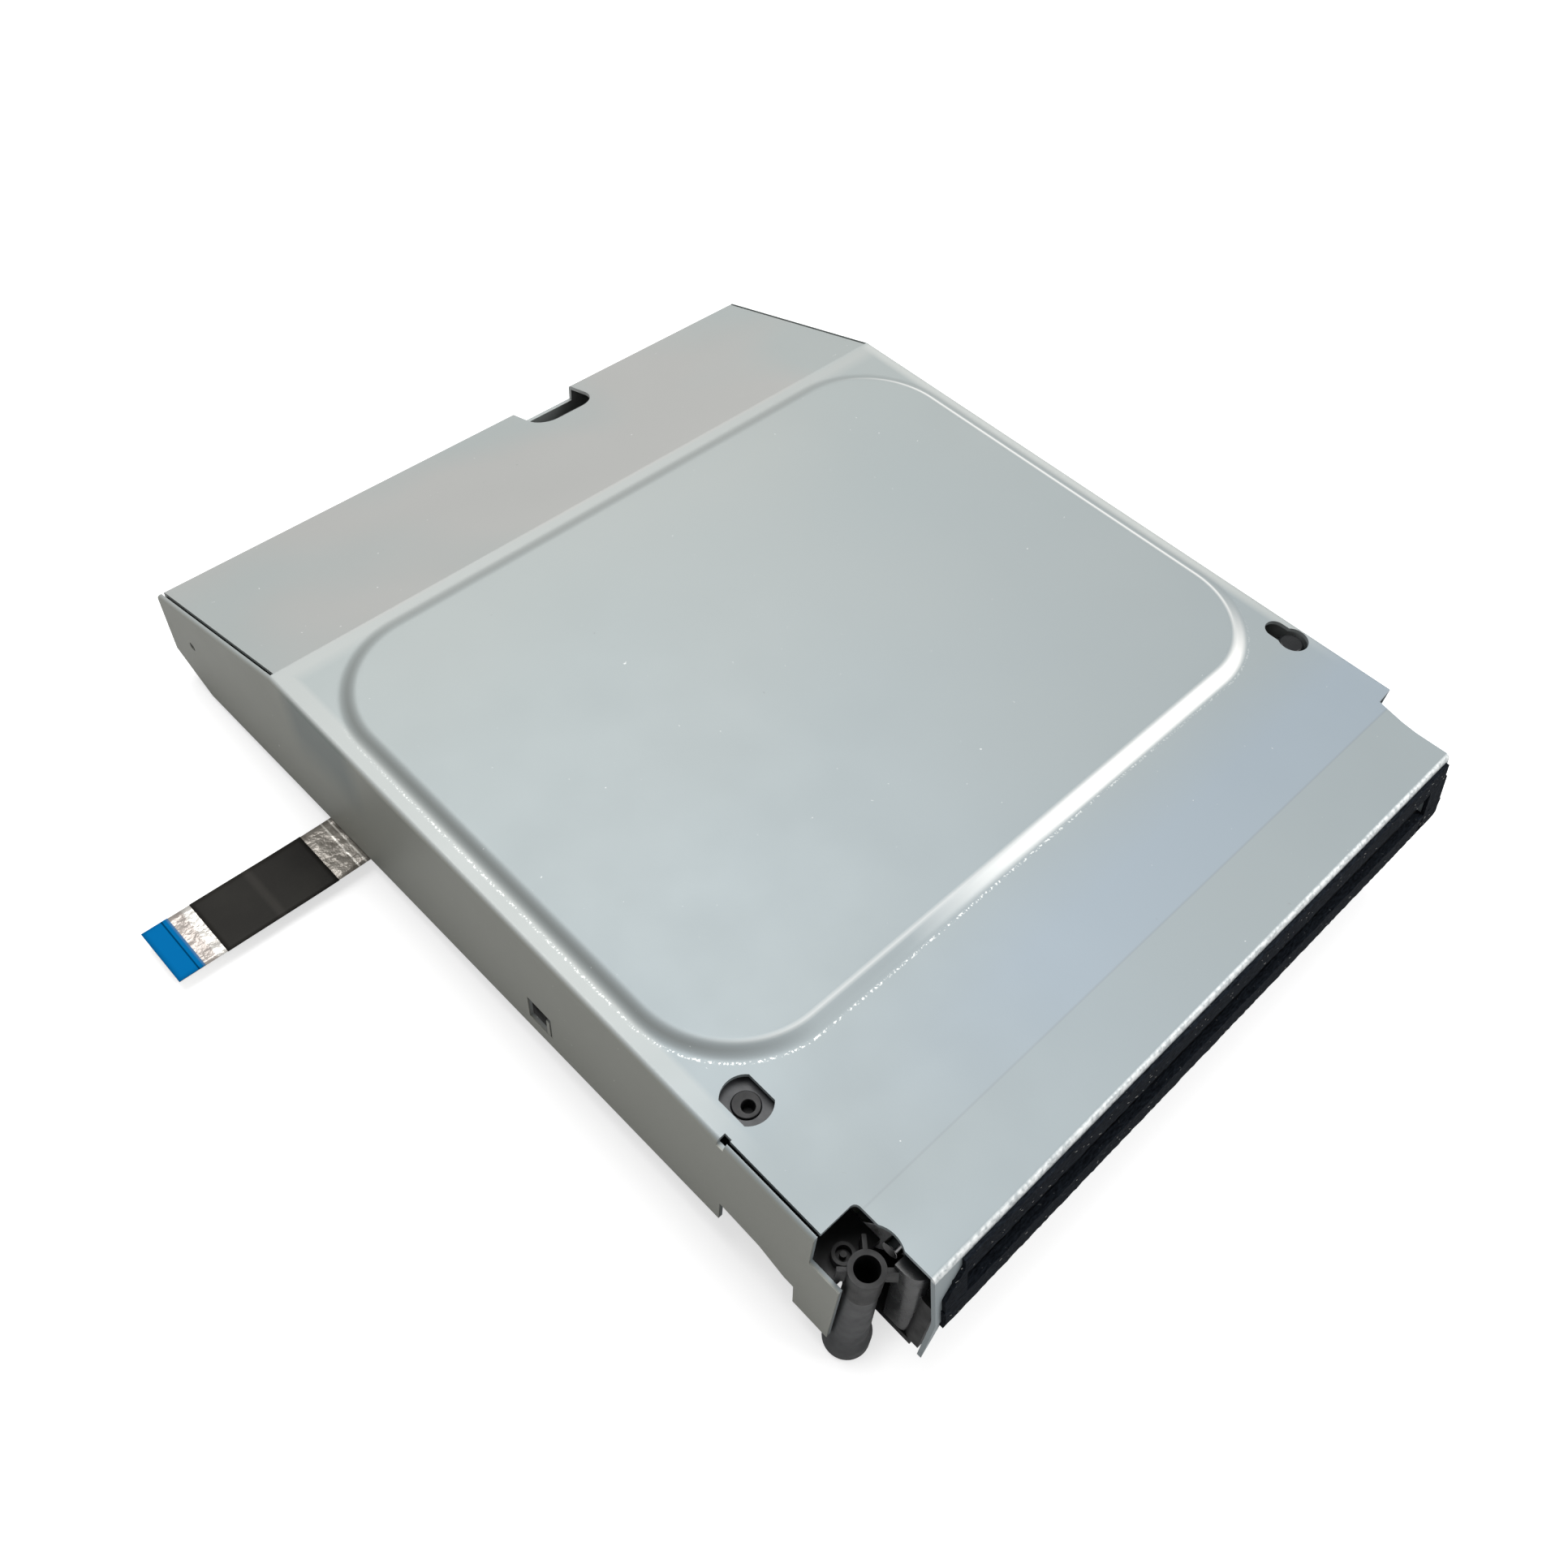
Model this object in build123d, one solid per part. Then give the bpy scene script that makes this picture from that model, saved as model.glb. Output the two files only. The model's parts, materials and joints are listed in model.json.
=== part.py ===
"""Slot-loading optical disc drive for a games console.

The drive is drawn from its front fold: x runs to the right, y runs back from the fold of the
top sheet and z is measured from the top sheet, so everything inside the case is below z = 0.
The finished pieces are moved so that the drive stands on its four posts.
Lengths are in millimetres and angles in degrees.
"""
from build123d import *
import os
from math import atan2, cos, degrees, hypot, pi, radians, sin, tan

# Case
case_width = 150.0
case_depth = 191.5
sheet = 0.8
bend_radius = 1.0
flange_lean = 2.7
flange_knee = 13.0
flange_depth = 15.0
corner_tip_depth = 27.9
corner_tip_width = 1.6
rear_slope = 43.0
rear_drop = 13.05
wall_front_depth = 26.4
wall_rear_depth = 32.9
rear_wall_depth = 27.8
seam = 0.6

# Raised panel of the top sheet
panel_left = 2.6
panel_right = 1.6
panel_front = 35.8
panel_back = 2.0
panel_corner = 21.0
panel_rise = 1.3
panel_slope = 2.8

# Disc and its slot
disc_centre = 87.0
disc_floor = 8.6
slot_inset = 11.5
slot_top = 4.6
slot_bottom = 10.3
felt_thickness = 0.7
front_corner_inset = 8.1
tab_top = 8.6
tab_front = 9.0
arm_hole_radius = 4.05
arm_hole_width = 6.0
keyhole_radius = 2.9
keyhole_width = 4.2

# Posts that the drive stands on, measured from the case's side and rear
post_radius = 2.9
post_bore = 2.25
post_end = 34.5
post_chamfer = 0.5
post_seat_wall = 1.4
seat_top = 27.5
corner_post_inset = 4.0
corner_post_y = 8.0
corner_post_top = 11.0
corner_ring = 2.8
inner_post_inset = 23.0
inner_post_y = 30.0
short_post_top = 29.0
rear_post_inset = 11.0
rear_post_back = 10.5

# Plastic frame
frame_gap = 2.0
frame_wall = 1.4
floor_top = 31.9
floor_thickness = 1.5
gear_wall_inset = 12.2
gear_wall_thickness = 2.0
frame_back = 3.5
floor_front = 22.0
beam_foot = 28.0
left_wall_front = 36.0
wall_top = 14.0
corner_relief = 3.8

# Feed roller and its bracket
roller_y = 9.0
roller_z = -12.6
roller_mid_radius = 3.3
roller_end_radius = 4.0
roller_middle = 1.5
roller_end_gap = 4.8
shaft_radius = 1.5
bracket_sheet = 1.2
bracket_gap = 0.7
bracket_pivot_y = 20.5
bracket_pivot_z = -29.0
bracket_tilt = 6.5
pivot_radius = 1.25
run_fit = 0.05

# Gear train
train_module = 0.8
motor_module = 0.6
roller_teeth = 10
idler_teeth = 12
small_teeth = 12
large_teeth = 32
pinion_teeth = 10
gear_face = 2.8
large_face = 2.2
gear_gap = 0.5
idler_angle = 35.0
small_angle = -50.0
pinion_angle = -25.0
motor_radius = 7.0
motor_length = 18.0

# Lifting deck
hinge_back = 19.5
hinge_z = -16.0
deck_lift = 4.0
deck_inset = 25.0
deck_front = 62.0
deck_corner = 4.0
deck_flange = 3.0
hinge_ear_gap = 7.0
hinge_ear = 3.5
deck_sheet = 1.2
deck_top = 15.4
cam_pin_back = 4.0
cam_pin_z = -17.6
cam_travel = 12.0
cam_play = 0.4
cam_thickness = 3.0
cam_gap = 7.0
cam_tail_y = 32.0
cam_tail_z = -27.0

# Disc motor
stator_tube = 3.6
table_radius = 15.0
table_thickness = 1.6
cone_radius = 7.3
cone_height = 2.4
rotor_radius = 13.0
rotor_height = 4.6
spindle_radius = 1.5
pad_outer = 13.8
pad_inner = 9.4
pad_thickness = 0.4

# Pickup, its rods and screw
rod_radius = 1.5
rod_z = -12.9
rod_left = -24.0
rod_right = 26.0
rod_start = 6.0
rod_back = 9.0
rod_holder = 6.0
screw_x = 33.0
stepper_radius = 4.6
stepper_length = 11.8
pickup_reach = 26.2
pickup_half_depth = 11.4

# Clamping puck
puck_radius = 16.0
puck_hub = 11.5
bridge_top = 3.6
bridge_half = 44.0
bridge_depth = 34.0
puck_floor = 6.9

# Disc arms
arm_left_inset = 7.4
arm_left_y = 35.9
arm_right_inset = 8.5
arm_right_y = 38.0
arm_pin = 2.2
arm_left_hub = 5.2
arm_right_hub = 2.9
arm_tip = 2.7
arm_reach = 35.3
arm_rest_angle = 38.6
arm_sheet = 1.6
arm_top = 1.8
guide_inset = 3.8
guide_y = 34.6
guide_radius = 1.5
guide_head = 2.6

# Ribbon cable
ribbon_width = 12.6
ribbon_thickness = 0.3
ribbon_y = 133.0
ribbon_tab = 5.0
ribbon_points = [
    (-33.0, -30.1),
    (-51.0, -30.35),
    (-67.0, -31.3),
    (-83.0, -31.7),
    (-99.0, -31.4),
    (-113.2, -31.3),
]

# Screws of the relay board
board_screw_x = -46.5
board_screw_rows = (-11.5, 13.5)
screw_radius = 1.0

beam_front = -1.4
half = case_width / 2
inner = half - sheet
frame_half = half - frame_gap
frame_rear = case_depth - frame_back
floor_low = -floor_top - floor_thickness
slot_half = half - slot_inset
rear_fold = case_depth - rear_slope
panel_rear = rear_fold - panel_back
corner_post_x = half - corner_post_inset
inner_post_x = half - inner_post_inset
rear_post_x = half - rear_post_inset
rear_post_y = case_depth - rear_post_back
short_posts = [(inner_post_x, inner_post_y), (rear_post_x, rear_post_y), (-rear_post_x, rear_post_y)]
relief_x = corner_relief - half
gear_wall_x = half - gear_wall_inset
roller_half = gear_wall_x - roller_end_gap
hinge_y = case_depth - hinge_back
deck_half = half - deck_inset
deck_rear = hinge_y - 4.0
cam_pin_y = deck_front + cam_pin_back
cam_inner = deck_half + cam_gap
cam_outer = cam_inner + cam_thickness
ear_inner = deck_half + hinge_ear_gap
rod_front = disc_centre + rod_start
rod_rear = hinge_y - rod_back
stepper_front = rod_rear - stepper_length
pickup_y = disc_centre + pickup_reach
arm_left_x = arm_left_inset - half
arm_right_x = half - arm_right_inset
guide_x = half - guide_inset
place = Pos(0, (flange_lean + felt_thickness - case_depth) / 2, post_end)


def block(x0, x1, y0, y1, z0, z1):
    """A box between two corners."""
    centre = Pos((x0 + x1) / 2, (y0 + y1) / 2, (z0 + z1) / 2)
    return centre * Box(abs(x1 - x0), abs(y1 - y0), abs(z1 - z0))


def bar_x(x0, x1, y, z, radius):
    """A round bar along x."""
    return Pos((x0 + x1) / 2, y, z) * Rot(0, 90, 0) * Cylinder(radius, abs(x1 - x0))


def bar_y(y0, y1, x, z, radius):
    """A round bar along y."""
    return Pos(x, (y0 + y1) / 2, z) * Rot(90, 0, 0) * Cylinder(radius, abs(y1 - y0))


def bar_z(z0, z1, x, y, radius):
    """A round bar along z."""
    return Pos(x, y, (z0 + z1) / 2) * Cylinder(radius, abs(z1 - z0))


def side_plate(points, x0, x1):
    """A plate across x, drawn by its outline in y and z."""
    return extrude(Plane.YZ.offset(x0) * make_face(Polyline(*points, close=True)), x1 - x0)


def flat_plate(outline, z0, z1):
    """A level plate from z0 up to z1, drawn by its outline in x and y."""
    return extrude(Pos(0, 0, z0) * outline, z1 - z0, dir=(0, 0, 1))


def lug(y0, z0, y1, z1, radius, x0, x1):
    """A plate across x with round ends about two points."""
    run = hypot(y1 - y0, z1 - z0)
    turn = degrees(atan2(z1 - z0, y1 - y0))
    outline = SlotCenterToCenter(run, 2 * radius)
    middle = Pos((y0 + y1) / 2, (z0 + z1) / 2) * Rot(0, 0, turn) * outline
    return extrude(Plane.YZ.offset(x0) * middle, x1 - x0)


def gear(teeth, module, face, phase):
    """A spur gear about x, one tooth pointing along the phase angle in the y z plane."""
    pitch = teeth * module / 2
    tip = pitch + 0.92 * module
    root = pitch - 1.15 * module
    half_pitch = pi / (2 * teeth) * 0.84
    flank = [(root, 1.32), (pitch - 0.45 * module, 1.18), (pitch, 1.0), (tip, 0.46)]
    rim = []
    for tooth in range(teeth):
        middle = radians(phase) + tooth * 2 * pi / teeth
        rising = [(r, middle - half_pitch * share) for r, share in flank]
        falling = [(r, middle + half_pitch * share) for r, share in reversed(flank)]
        rim += [(r * cos(a), r * sin(a)) for r, a in rising + falling]
    outline = make_face(Polyline(*rim, close=True))
    return extrude(Plane.YZ * outline, face)


def on_deck(piece):
    """Turns a deck piece from the raised deck, as drawn, to the lowered deck at rest."""
    return Pos(0, hinge_y, hinge_z) * Rot(deck_lift, 0, 0) * Pos(0, -hinge_y, -hinge_z) * piece


def deck_point(y, z):
    """Where a point of the raised deck is at rest."""
    a = radians(deck_lift)
    dy = y - hinge_y
    dz = z - hinge_z
    return hinge_y + dy * cos(a) - dz * sin(a), hinge_z + dy * sin(a) + dz * cos(a)


# Places of the gear axles, worked out from the roller
train_x = gear_wall_x + gear_wall_thickness + gear_gap
large_x = train_x + gear_face + gear_gap


def step(y, z, distance, angle):
    """The next axle of the train."""
    return y + distance * cos(radians(angle)), z + distance * sin(radians(angle))


idler_y, idler_z = step(roller_y, roller_z, (roller_teeth + idler_teeth) * train_module / 2, idler_angle)
double_y, double_z = step(idler_y, idler_z, (idler_teeth + small_teeth) * train_module / 2, small_angle)
motor_y, motor_z = step(double_y, double_z, (large_teeth + pinion_teeth) * motor_module / 2, pinion_angle)


def raised_panel(drop):
    """The raised panel as a low frustum with round corners, lowered by drop."""
    width = case_width - panel_left - panel_right
    length = panel_rear - panel_front
    centre_x = (panel_left - panel_right) / 2
    centre_y = (panel_front + panel_rear) / 2
    foot = RectangleRounded(width, length, panel_corner)
    crown_corner = panel_corner - panel_slope
    crown = RectangleRounded(width - 2 * panel_slope, length - 2 * panel_slope, crown_corner)
    low = Pos(centre_x, centre_y, -drop) * foot
    high = Pos(centre_x, centre_y, panel_rise - drop) * crown
    return loft([low, high])


def top_cover():
    """The folded steel cover: top sheet, sloped rear, front flange, side and rear walls."""
    deep = wall_rear_depth + 1.0
    outline = [
        (0, 0),
        (rear_fold, 0),
        (case_depth, -rear_drop),
        (case_depth, -deep),
        (-flange_lean, -deep),
        (-flange_lean, -flange_knee),
    ]
    skin = side_plate(outline, -half, half)
    long_edges = skin.edges().filter_by(lambda e: e.center().Z > -rear_drop - 0.01)
    skin = fillet(long_edges, bend_radius)
    profile = make_face(Polyline(*outline, close=True))
    hollow = offset(profile, -sheet, kind=Kind.INTERSECTION)
    cover = skin - extrude(Plane.YZ.offset(-inner) * hollow, 2 * inner)
    cover -= block(-inner, inner, sheet - flange_lean, case_depth - sheet, -deep - 1, -deep + 2)
    cover = cover + raised_panel(0) - raised_panel(sheet)

    # Lower edges: flange, rear wall and the stepped side walls
    below = -deep - 2
    front_edge = [
        (-half - 1, below),
        (front_corner_inset - half, -corner_tip_depth),
        (front_corner_inset - half + corner_tip_width, -flange_depth),
        (half + 1, -flange_depth),
        (half + 1, below),
    ]
    cover -= extrude(Plane.XZ.offset(8) * make_face(Polyline(*front_edge, close=True)), -8 - sheet)
    cover -= block(-inner, inner, case_depth - sheet - 0.1, case_depth + 1, below, -rear_wall_depth)
    lower_edge = [
        (-8, below),
        (-8, -28.0),
        (16.2, -28.0),
        (16.6, -22.4),
        (18.6, -22.4),
        (24.0, -20.6),
        (31.5, -20.3),
        (32.7, -20.3),
        (32.7, -26.2),
        (37.0, -wall_front_depth),
        (case_depth - 10.8, -wall_rear_depth),
        (case_depth + 1, -rear_wall_depth + 0.5),
        (case_depth + 1, below),
    ]
    for side in (-1, 1):
        x0, x1 = sorted((side * (inner - 0.01), side * (half + 1)))
        cover -= side_plate(lower_edge, x0, x1)

    # Front left corner, cut round the post, with the wall's low front tab left standing
    corner_x = front_corner_inset - half
    corner = Pos((corner_x - half - 1) / 2, 4.7) * RectangleRounded(corner_x + half + 1, 20.4, 1.0)
    corner += Pos(-corner_post_x, corner_post_y) * Circle(4.8)
    cover -= flat_plate(corner, -tab_top, 4)
    cover -= block(-half - 1, corner_x, -8, tab_front, below, 0.1 - tab_top)

    # Front right corner
    right_cut = [
        (half - 5.9, -8),
        (half - 6.1, 6.8),
        (half - 5.8, 9.8),
        (half - 4.7, 15.3),
        (half + 1, 15.7),
        (half + 1, -8),
    ]
    cover -= flat_plate(make_face(Polyline(*right_cut, close=True)), -tab_top, 4)
    cover -= block(half - 6.0, half + 1, -8, tab_front, below, -tab_top + 0.1)

    # Slits beside the walls, with a square relief at the end of the front one
    slit_rear = 33.5
    cover -= block(-inner, -inner + seam, 14, slit_rear, -1.4, 1)
    cover -= block(-half - 1, -inner + seam + 0.3, slit_rear - 0.6, slit_rear + 0.8, -1.3, 1)
    for side in (-1, 1):
        x0, x1 = sorted((side * inner, side * (inner - seam)))
        slope_gap = [
            (rear_fold, 1),
            (rear_fold, -1.6),
            (case_depth, -rear_drop - 1.6),
            (case_depth, -rear_drop + 1),
        ]
        cover -= side_plate(slope_gap, x0, x1)

    # Holes in the top sheet, over the left arm's boss and the right guide pin
    flats = Rectangle(arm_hole_width, 2 * arm_hole_radius)
    cover -= flat_plate(Pos(arm_left_x, arm_left_y) * (Circle(arm_hole_radius) & flats), -2, 2)
    keyhole = Pos(guide_x, guide_y) * Circle(keyhole_radius)
    keyhole += Pos(guide_x - 0.2, guide_y + 2.4) * Rot(0, 0, 90) * SlotOverall(6.8, keyhole_width)
    cover -= flat_plate(keyhole, -2, 2)

    # Notch in the rear edge and the disc slot in the front flange
    notch = Pos(17.3, case_depth - 0.5) * RectangleRounded(15.6, 20, 4.6)
    cover -= flat_plate(notch, -16.5, 0)
    cover -= block(-slot_half, slot_half, -8, 3, -slot_bottom, -slot_top)

    # Left wall: window with its bent tongue, and the small locating hole
    cover -= block(-half - 1, -inner + 0.2, 73, 79, -24.9, -18.6)
    cover += block(-half + 0.1, -inner + 0.7, 73.6, 74.4, -24.9, -20.4)
    cover -= bar_x(-half - 1, -inner + 0.3, case_depth - 9.7, -19.6, 0.9)
    return cover


def felt_strip(z_high, z_low, left, right):
    """A felt strip on the leaning front flange, between two depths."""
    lean = flange_lean / flange_knee

    def face(z):
        return z * lean

    points = [
        (face(z_high), z_high),
        (face(z_high) - felt_thickness, z_high),
        (face(z_low) - felt_thickness, z_low),
        (face(z_low), z_low),
    ]
    return side_plate(points, left, right)


def upper_felt():
    """The felt above the disc slot, cut on the slant at its left end."""
    left = front_corner_inset + 1.6 - half
    strip = felt_strip(-1.3, -slot_top + 0.5, left, half - 6.2)
    slant = [(left - 2, -slot_top), (left + 3, -1.2), (left - 3.5, -1.2), (left - 3.5, -slot_top)]
    cutter = extrude(Plane.XZ.offset(8) * make_face(Polyline(*slant, close=True)), -12)
    return strip - cutter


def lower_felt():
    """The felt below the disc slot."""
    return felt_strip(-slot_bottom - 0.1, -flange_knee - 0.9, front_corner_inset + 0.6 - half, half - 6.2)


def base_frame():
    """The black moulded floor of the case, open under the deck and bored for posts and screws."""
    bay = deck_half + 6
    body = block(-frame_half, frame_half, floor_front, frame_rear, floor_low, -floor_top)
    body -= block(-bay, bay, deck_front, disc_centre + 29, floor_low - 1, 0)
    body -= block(rod_left, bay, disc_centre + 28, hinge_y + 6, floor_low - 1, 0)
    body -= block(-half, relief_x, floor_front - 1, left_wall_front, floor_low - 1, 0)
    for x, y in short_posts:
        body -= bar_z(floor_low - 1, 0, x, y, post_radius)
    for dy in board_screw_rows:
        body -= bar_z(floor_low - 1, -floor_top + 1, board_screw_x, ribbon_y + dy, screw_radius)
    return body


def frame_walls():
    """The moulded side walls with their pads, the left one with a passage for the ribbon."""
    wall_rear = frame_rear - frame_wall
    walls = Part()
    for side, front in ((-1, left_wall_front), (1, floor_front)):
        outer = side * frame_half
        wall = block(outer - side * frame_wall, outer, front, wall_rear, -floor_top, -wall_top)
        for pad_y in (45, disc_centre + 13, hinge_y - 12):
            wall += block(outer, side * inner, pad_y, pad_y + 8, -22, -16)
        walls += wall
    passage = ribbon_width / 2 + 1.2
    wall_in = frame_wall - frame_half + 1
    return walls - block(-half, wall_in, ribbon_y - passage, ribbon_y + passage, -floor_top - 1, -28.4)


def frame_back_wall():
    """The moulded rear wall."""
    return block(-frame_half, frame_half, frame_rear - frame_wall, frame_rear, -floor_top, -16.5)


def frame_ribs():
    """The ribs and rails that stand on the floor."""
    ribs = block(-deck_half - 6, deck_half + 6, deck_front - 3.5, deck_front - 2, -floor_top, -28.5)
    ribs += block(-cam_outer - 2.2, -cam_outer - 0.4, 44, 112, -floor_top, -27)
    ribs += block(-cam_inner + 0.4, -cam_inner + 1.6, 46, deck_front - 4, -floor_top, -29)
    for side in (-1, 1):
        within = side * (frame_half - frame_wall)
        for rib_y in (70, disc_centre + 31, hinge_y - 27):
            ribs += block(side * (cam_outer + 2.2), within, rib_y, rib_y + frame_wall, -floor_top, -24)
    return ribs


def frame_bosses():
    """The deck's bearings, the post seats and the shelf under the rear notch."""
    shelf = block(4, 21, hinge_y + 7, frame_rear - frame_wall, -19.0, -17.2)
    shelf += block(4, 5.4, hinge_y + 7, frame_rear - frame_wall, -floor_top, -17.2)
    bosses = shelf - bar_z(-20, -16, 13.5, hinge_y + 12, 0.9)
    for side in (-1, 1):
        ear = [(hinge_y - 5, -floor_top), (hinge_y - 3.4, hinge_z + 3.2), (hinge_y + 3.4, hinge_z + 3.2),
               (hinge_y + 5, -floor_top)]
        x0, x1 = sorted((side * ear_inner, side * (ear_inner + hinge_ear)))
        bosses += side_plate(ear, x0, x1) - bar_x(-half, half, hinge_y, hinge_z, spindle_radius + run_fit)
    for x, y in short_posts:
        seat = bar_z(-floor_top, -seat_top, x, y, post_radius + post_seat_wall)
        seat -= bar_z(floor_low, -short_post_top, x, y, post_radius)
        bosses += seat - bar_z(-short_post_top - 1, -seat_top + 0.5, x, y, post_bore)
    return bosses


def front_frame():
    """The slot beam with a rounded left end, on a moulding hollowed for the roller's bracket."""
    beam_left = front_corner_inset + 0.7 - half
    beam_right = gear_wall_x + gear_wall_thickness
    beam = block(beam_left, beam_right, beam_front, 2.6, -beam_foot, -11.2)
    body = fillet(beam.edges().filter_by(Axis.Z).sort_by(Axis.X)[:2].sort_by(Axis.Y)[1:], 2.4)
    body += block(beam_left, beam_right, 0, floor_front, floor_low + 3.9, -beam_foot)
    body += block(beam_left + 1.5, beam_right, 18.6, floor_front, floor_low, -beam_foot)
    body -= block(-gear_wall_x, gear_wall_x, 16.2, 25.4, -floor_top, -26)
    return body - bar_x(-half, half, bracket_pivot_y, bracket_pivot_z, pivot_radius)


def gear_wall():
    """The right side plate with the gear axles, and the shelves over the gears."""
    outline = [
        (12.4, -beam_foot),
        (12.4, -4.4),
        (22, -4.4),
        (44, -8.2),
        (44, -floor_top),
        (floor_front, -floor_top),
        (floor_front, -beam_foot),
    ]
    wall = side_plate(outline, gear_wall_x, gear_wall_x + gear_wall_thickness)
    wall += block(gear_wall_x, inner, 32.6, 48, -9.8, -8.2)
    wall += block(frame_half - frame_wall, frame_half, 32.6, 48, -wall_top, -8.2)
    wall += block(half - 4.6, inner, 16.2, 24, -4.6, -3.2)
    wall += block(frame_half, inner, 20.2, 34, -14.5, -3.2)
    wall += bar_z(-8.2, -6.3, arm_right_x, arm_right_y, 3.4)
    wall += bar_z(-6.3, -1.4, arm_right_x, arm_right_y, arm_pin)
    # Holes for the axles, the motor boss and the bracket pivot
    wall -= bar_x(gear_wall_x - 1, train_x, idler_y, idler_z, pivot_radius)
    wall -= bar_x(gear_wall_x - 1, frame_half - frame_wall, double_y, double_z, pivot_radius)
    wall -= bar_x(gear_wall_x - 1, train_x, motor_y, motor_z, 3.2)
    return wall - bar_x(gear_wall_x - 1, half, bracket_pivot_y, bracket_pivot_z, pivot_radius)


def left_bracket():
    """The left side plate with the bracket's pivot hole, and the left disc arm's boss."""
    outline = [
        (13, -beam_foot),
        (13, -20),
        (32, -20),
        (40, -floor_top),
        (floor_front, -floor_top),
        (floor_front, -beam_foot),
    ]
    wall = side_plate(outline, -gear_wall_x - gear_wall_thickness, -gear_wall_x)
    wall += bar_z(-floor_top, -6.3, arm_left_x, arm_left_y, 3.4)
    wall += bar_z(-6.3, -1.4, arm_left_x, arm_left_y, arm_pin)
    wall -= bar_z(-4.0, -1.0, arm_left_x, arm_left_y - 0.4, 1.05)
    return wall - bar_x(-half, 0, bracket_pivot_y, bracket_pivot_z, pivot_radius)


def corner_shelf():
    """The front left shelf: its hanging walls, the post's ring with three ribs, and the peg."""
    cx = -corner_post_x
    cy = corner_post_y
    shelf = block(-inner, -gear_wall_x - 2, 10.5, 26, -11, -9.5)
    shelf += block(-frame_half, -frame_half + frame_wall, 18, left_wall_front, -20.5, -9.5)
    shelf += block(-gear_wall_x - 2, -gear_wall_x, 18, 26, -20.0, -9.5)
    shelf += bar_z(-corner_post_top, -4.2, cx, cy, corner_ring)
    for angle, reach in ((49, 5.0), (136, 4.2), (316, 5.0)):
        rib = Pos(cx, cy) * Rot(0, 0, angle) * Pos((corner_ring + reach) / 2 - 0.1, 0)
        shelf += flat_plate(rib * Rectangle(reach - corner_ring + 0.2, 0.7), -8.4, -4.4)
    peg = Pos(cx + 0.2, cy + 4.3)
    shelf += flat_plate(peg * Circle(1.75), -9.5, -7.4)
    shelf -= flat_plate(peg * Circle(1.2), -8.9, -7.0)
    shelf += flat_plate(peg * Circle(0.5), -9.5, -7.6)
    return shelf - bar_z(-corner_post_top - 1, -3, cx, cy, post_bore)


def post(x, y, top):
    """A grey sleeve that a fixing screw passes through."""
    sleeve = bar_z(-post_end, -top, x, y, post_radius)
    foot = sleeve.edges().filter_by(GeomType.CIRCLE).sort_by(Axis.Z)[:1]
    sleeve = chamfer(foot, post_chamfer)
    return sleeve - bar_z(-post_end - 1, -top + 1, x, y, post_bore)


def clamp_bridge():
    """The steel strip under the raised panel that the puck hangs in."""
    front = disc_centre - bridge_depth / 2
    rear = disc_centre + bridge_depth / 2
    strip = block(-bridge_half, bridge_half, front, rear, -bridge_top - sheet, -bridge_top)
    for side in (-1, 1):
        under = panel_rise - sheet
        strip += block(side * (bridge_half - sheet), side * bridge_half, front, rear, -bridge_top, under)
        strip += block(side * (bridge_half - 6), side * bridge_half, front, rear, under - sheet, under)
        strip -= bar_z(-bridge_top - 2, -bridge_top + 1, side * 28, disc_centre, 5)
    return strip - bar_z(-bridge_top - 2, -bridge_top + 1, 0, disc_centre, puck_hub + 1)


def clamp_puck():
    """The round clamp that presses the disc on the turntable."""
    puck = bar_z(-bridge_top + 0.3, -bridge_top + 1.3, 0, disc_centre, puck_radius)
    puck += bar_z(-puck_floor, -bridge_top + 0.3, 0, disc_centre, puck_hub)
    puck -= bar_z(-puck_floor - 1, -puck_floor + 2.6, 0, disc_centre, cone_radius + 0.8)
    for turn in range(6):
        pocket = Pos(0, disc_centre) * Rot(0, 0, 60 * turn) * Pos(12.6, 0) * Rectangle(3.6, 1.8)
        puck -= flat_plate(pocket, -bridge_top + 0.8, 0)
    return puck


def roller_bracket():
    """The steel bracket that carries the feed roller at its two arms."""
    arm_in = gear_wall_x - bracket_gap - bracket_sheet
    bracket = None
    for side in (-1, 1):
        x0, x1 = sorted((side * arm_in, side * (arm_in + bracket_sheet)))
        arm = lug(roller_y, roller_z, bracket_pivot_y, bracket_pivot_z, 2.6, x0, x1)
        bracket = arm if bracket is None else bracket + arm
    web = [(14.2, -18.0), (15.4, -18.0), (17.8, -21.6), (16.6, -22.2)]
    bracket += side_plate(web, -arm_in, arm_in)
    outer = -arm_in - bracket_sheet
    bracket += lug(bracket_pivot_y, bracket_pivot_z, cam_tail_y, cam_tail_z, 2.2, outer, -arm_in)
    bracket += bar_x(outer, -cam_inner - 0.4, cam_tail_y, cam_tail_z, spindle_radius)
    bracket -= bar_x(-half, half, roller_y, roller_z, shaft_radius + run_fit)
    bore = pivot_radius + run_fit
    for side in (-1, 1):
        bracket -= bar_x(side * (arm_in - 1), side * half, bracket_pivot_y, bracket_pivot_z, bore)
    return bracket


def roller_shaft():
    """The steel shaft of the feed roller."""
    return bar_x(-gear_wall_x - 1.2, train_x + gear_face, roller_y, roller_z, shaft_radius)


def roller_rubber():
    """Two tapered rubber sleeves, thickest at the outer ends."""
    sleeves = None
    for side in (-1, 1):
        taper = Cone(roller_mid_radius, roller_end_radius, roller_half - roller_middle)
        middle = side * (roller_half + roller_middle) / 2
        sleeve = Pos(middle, roller_y, roller_z) * Rot(0, side * 90, 0) * taper
        sleeves = sleeve if sleeves is None else sleeves + sleeve
    return sleeves - bar_x(-half, half, roller_y, roller_z, shaft_radius)


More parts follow.
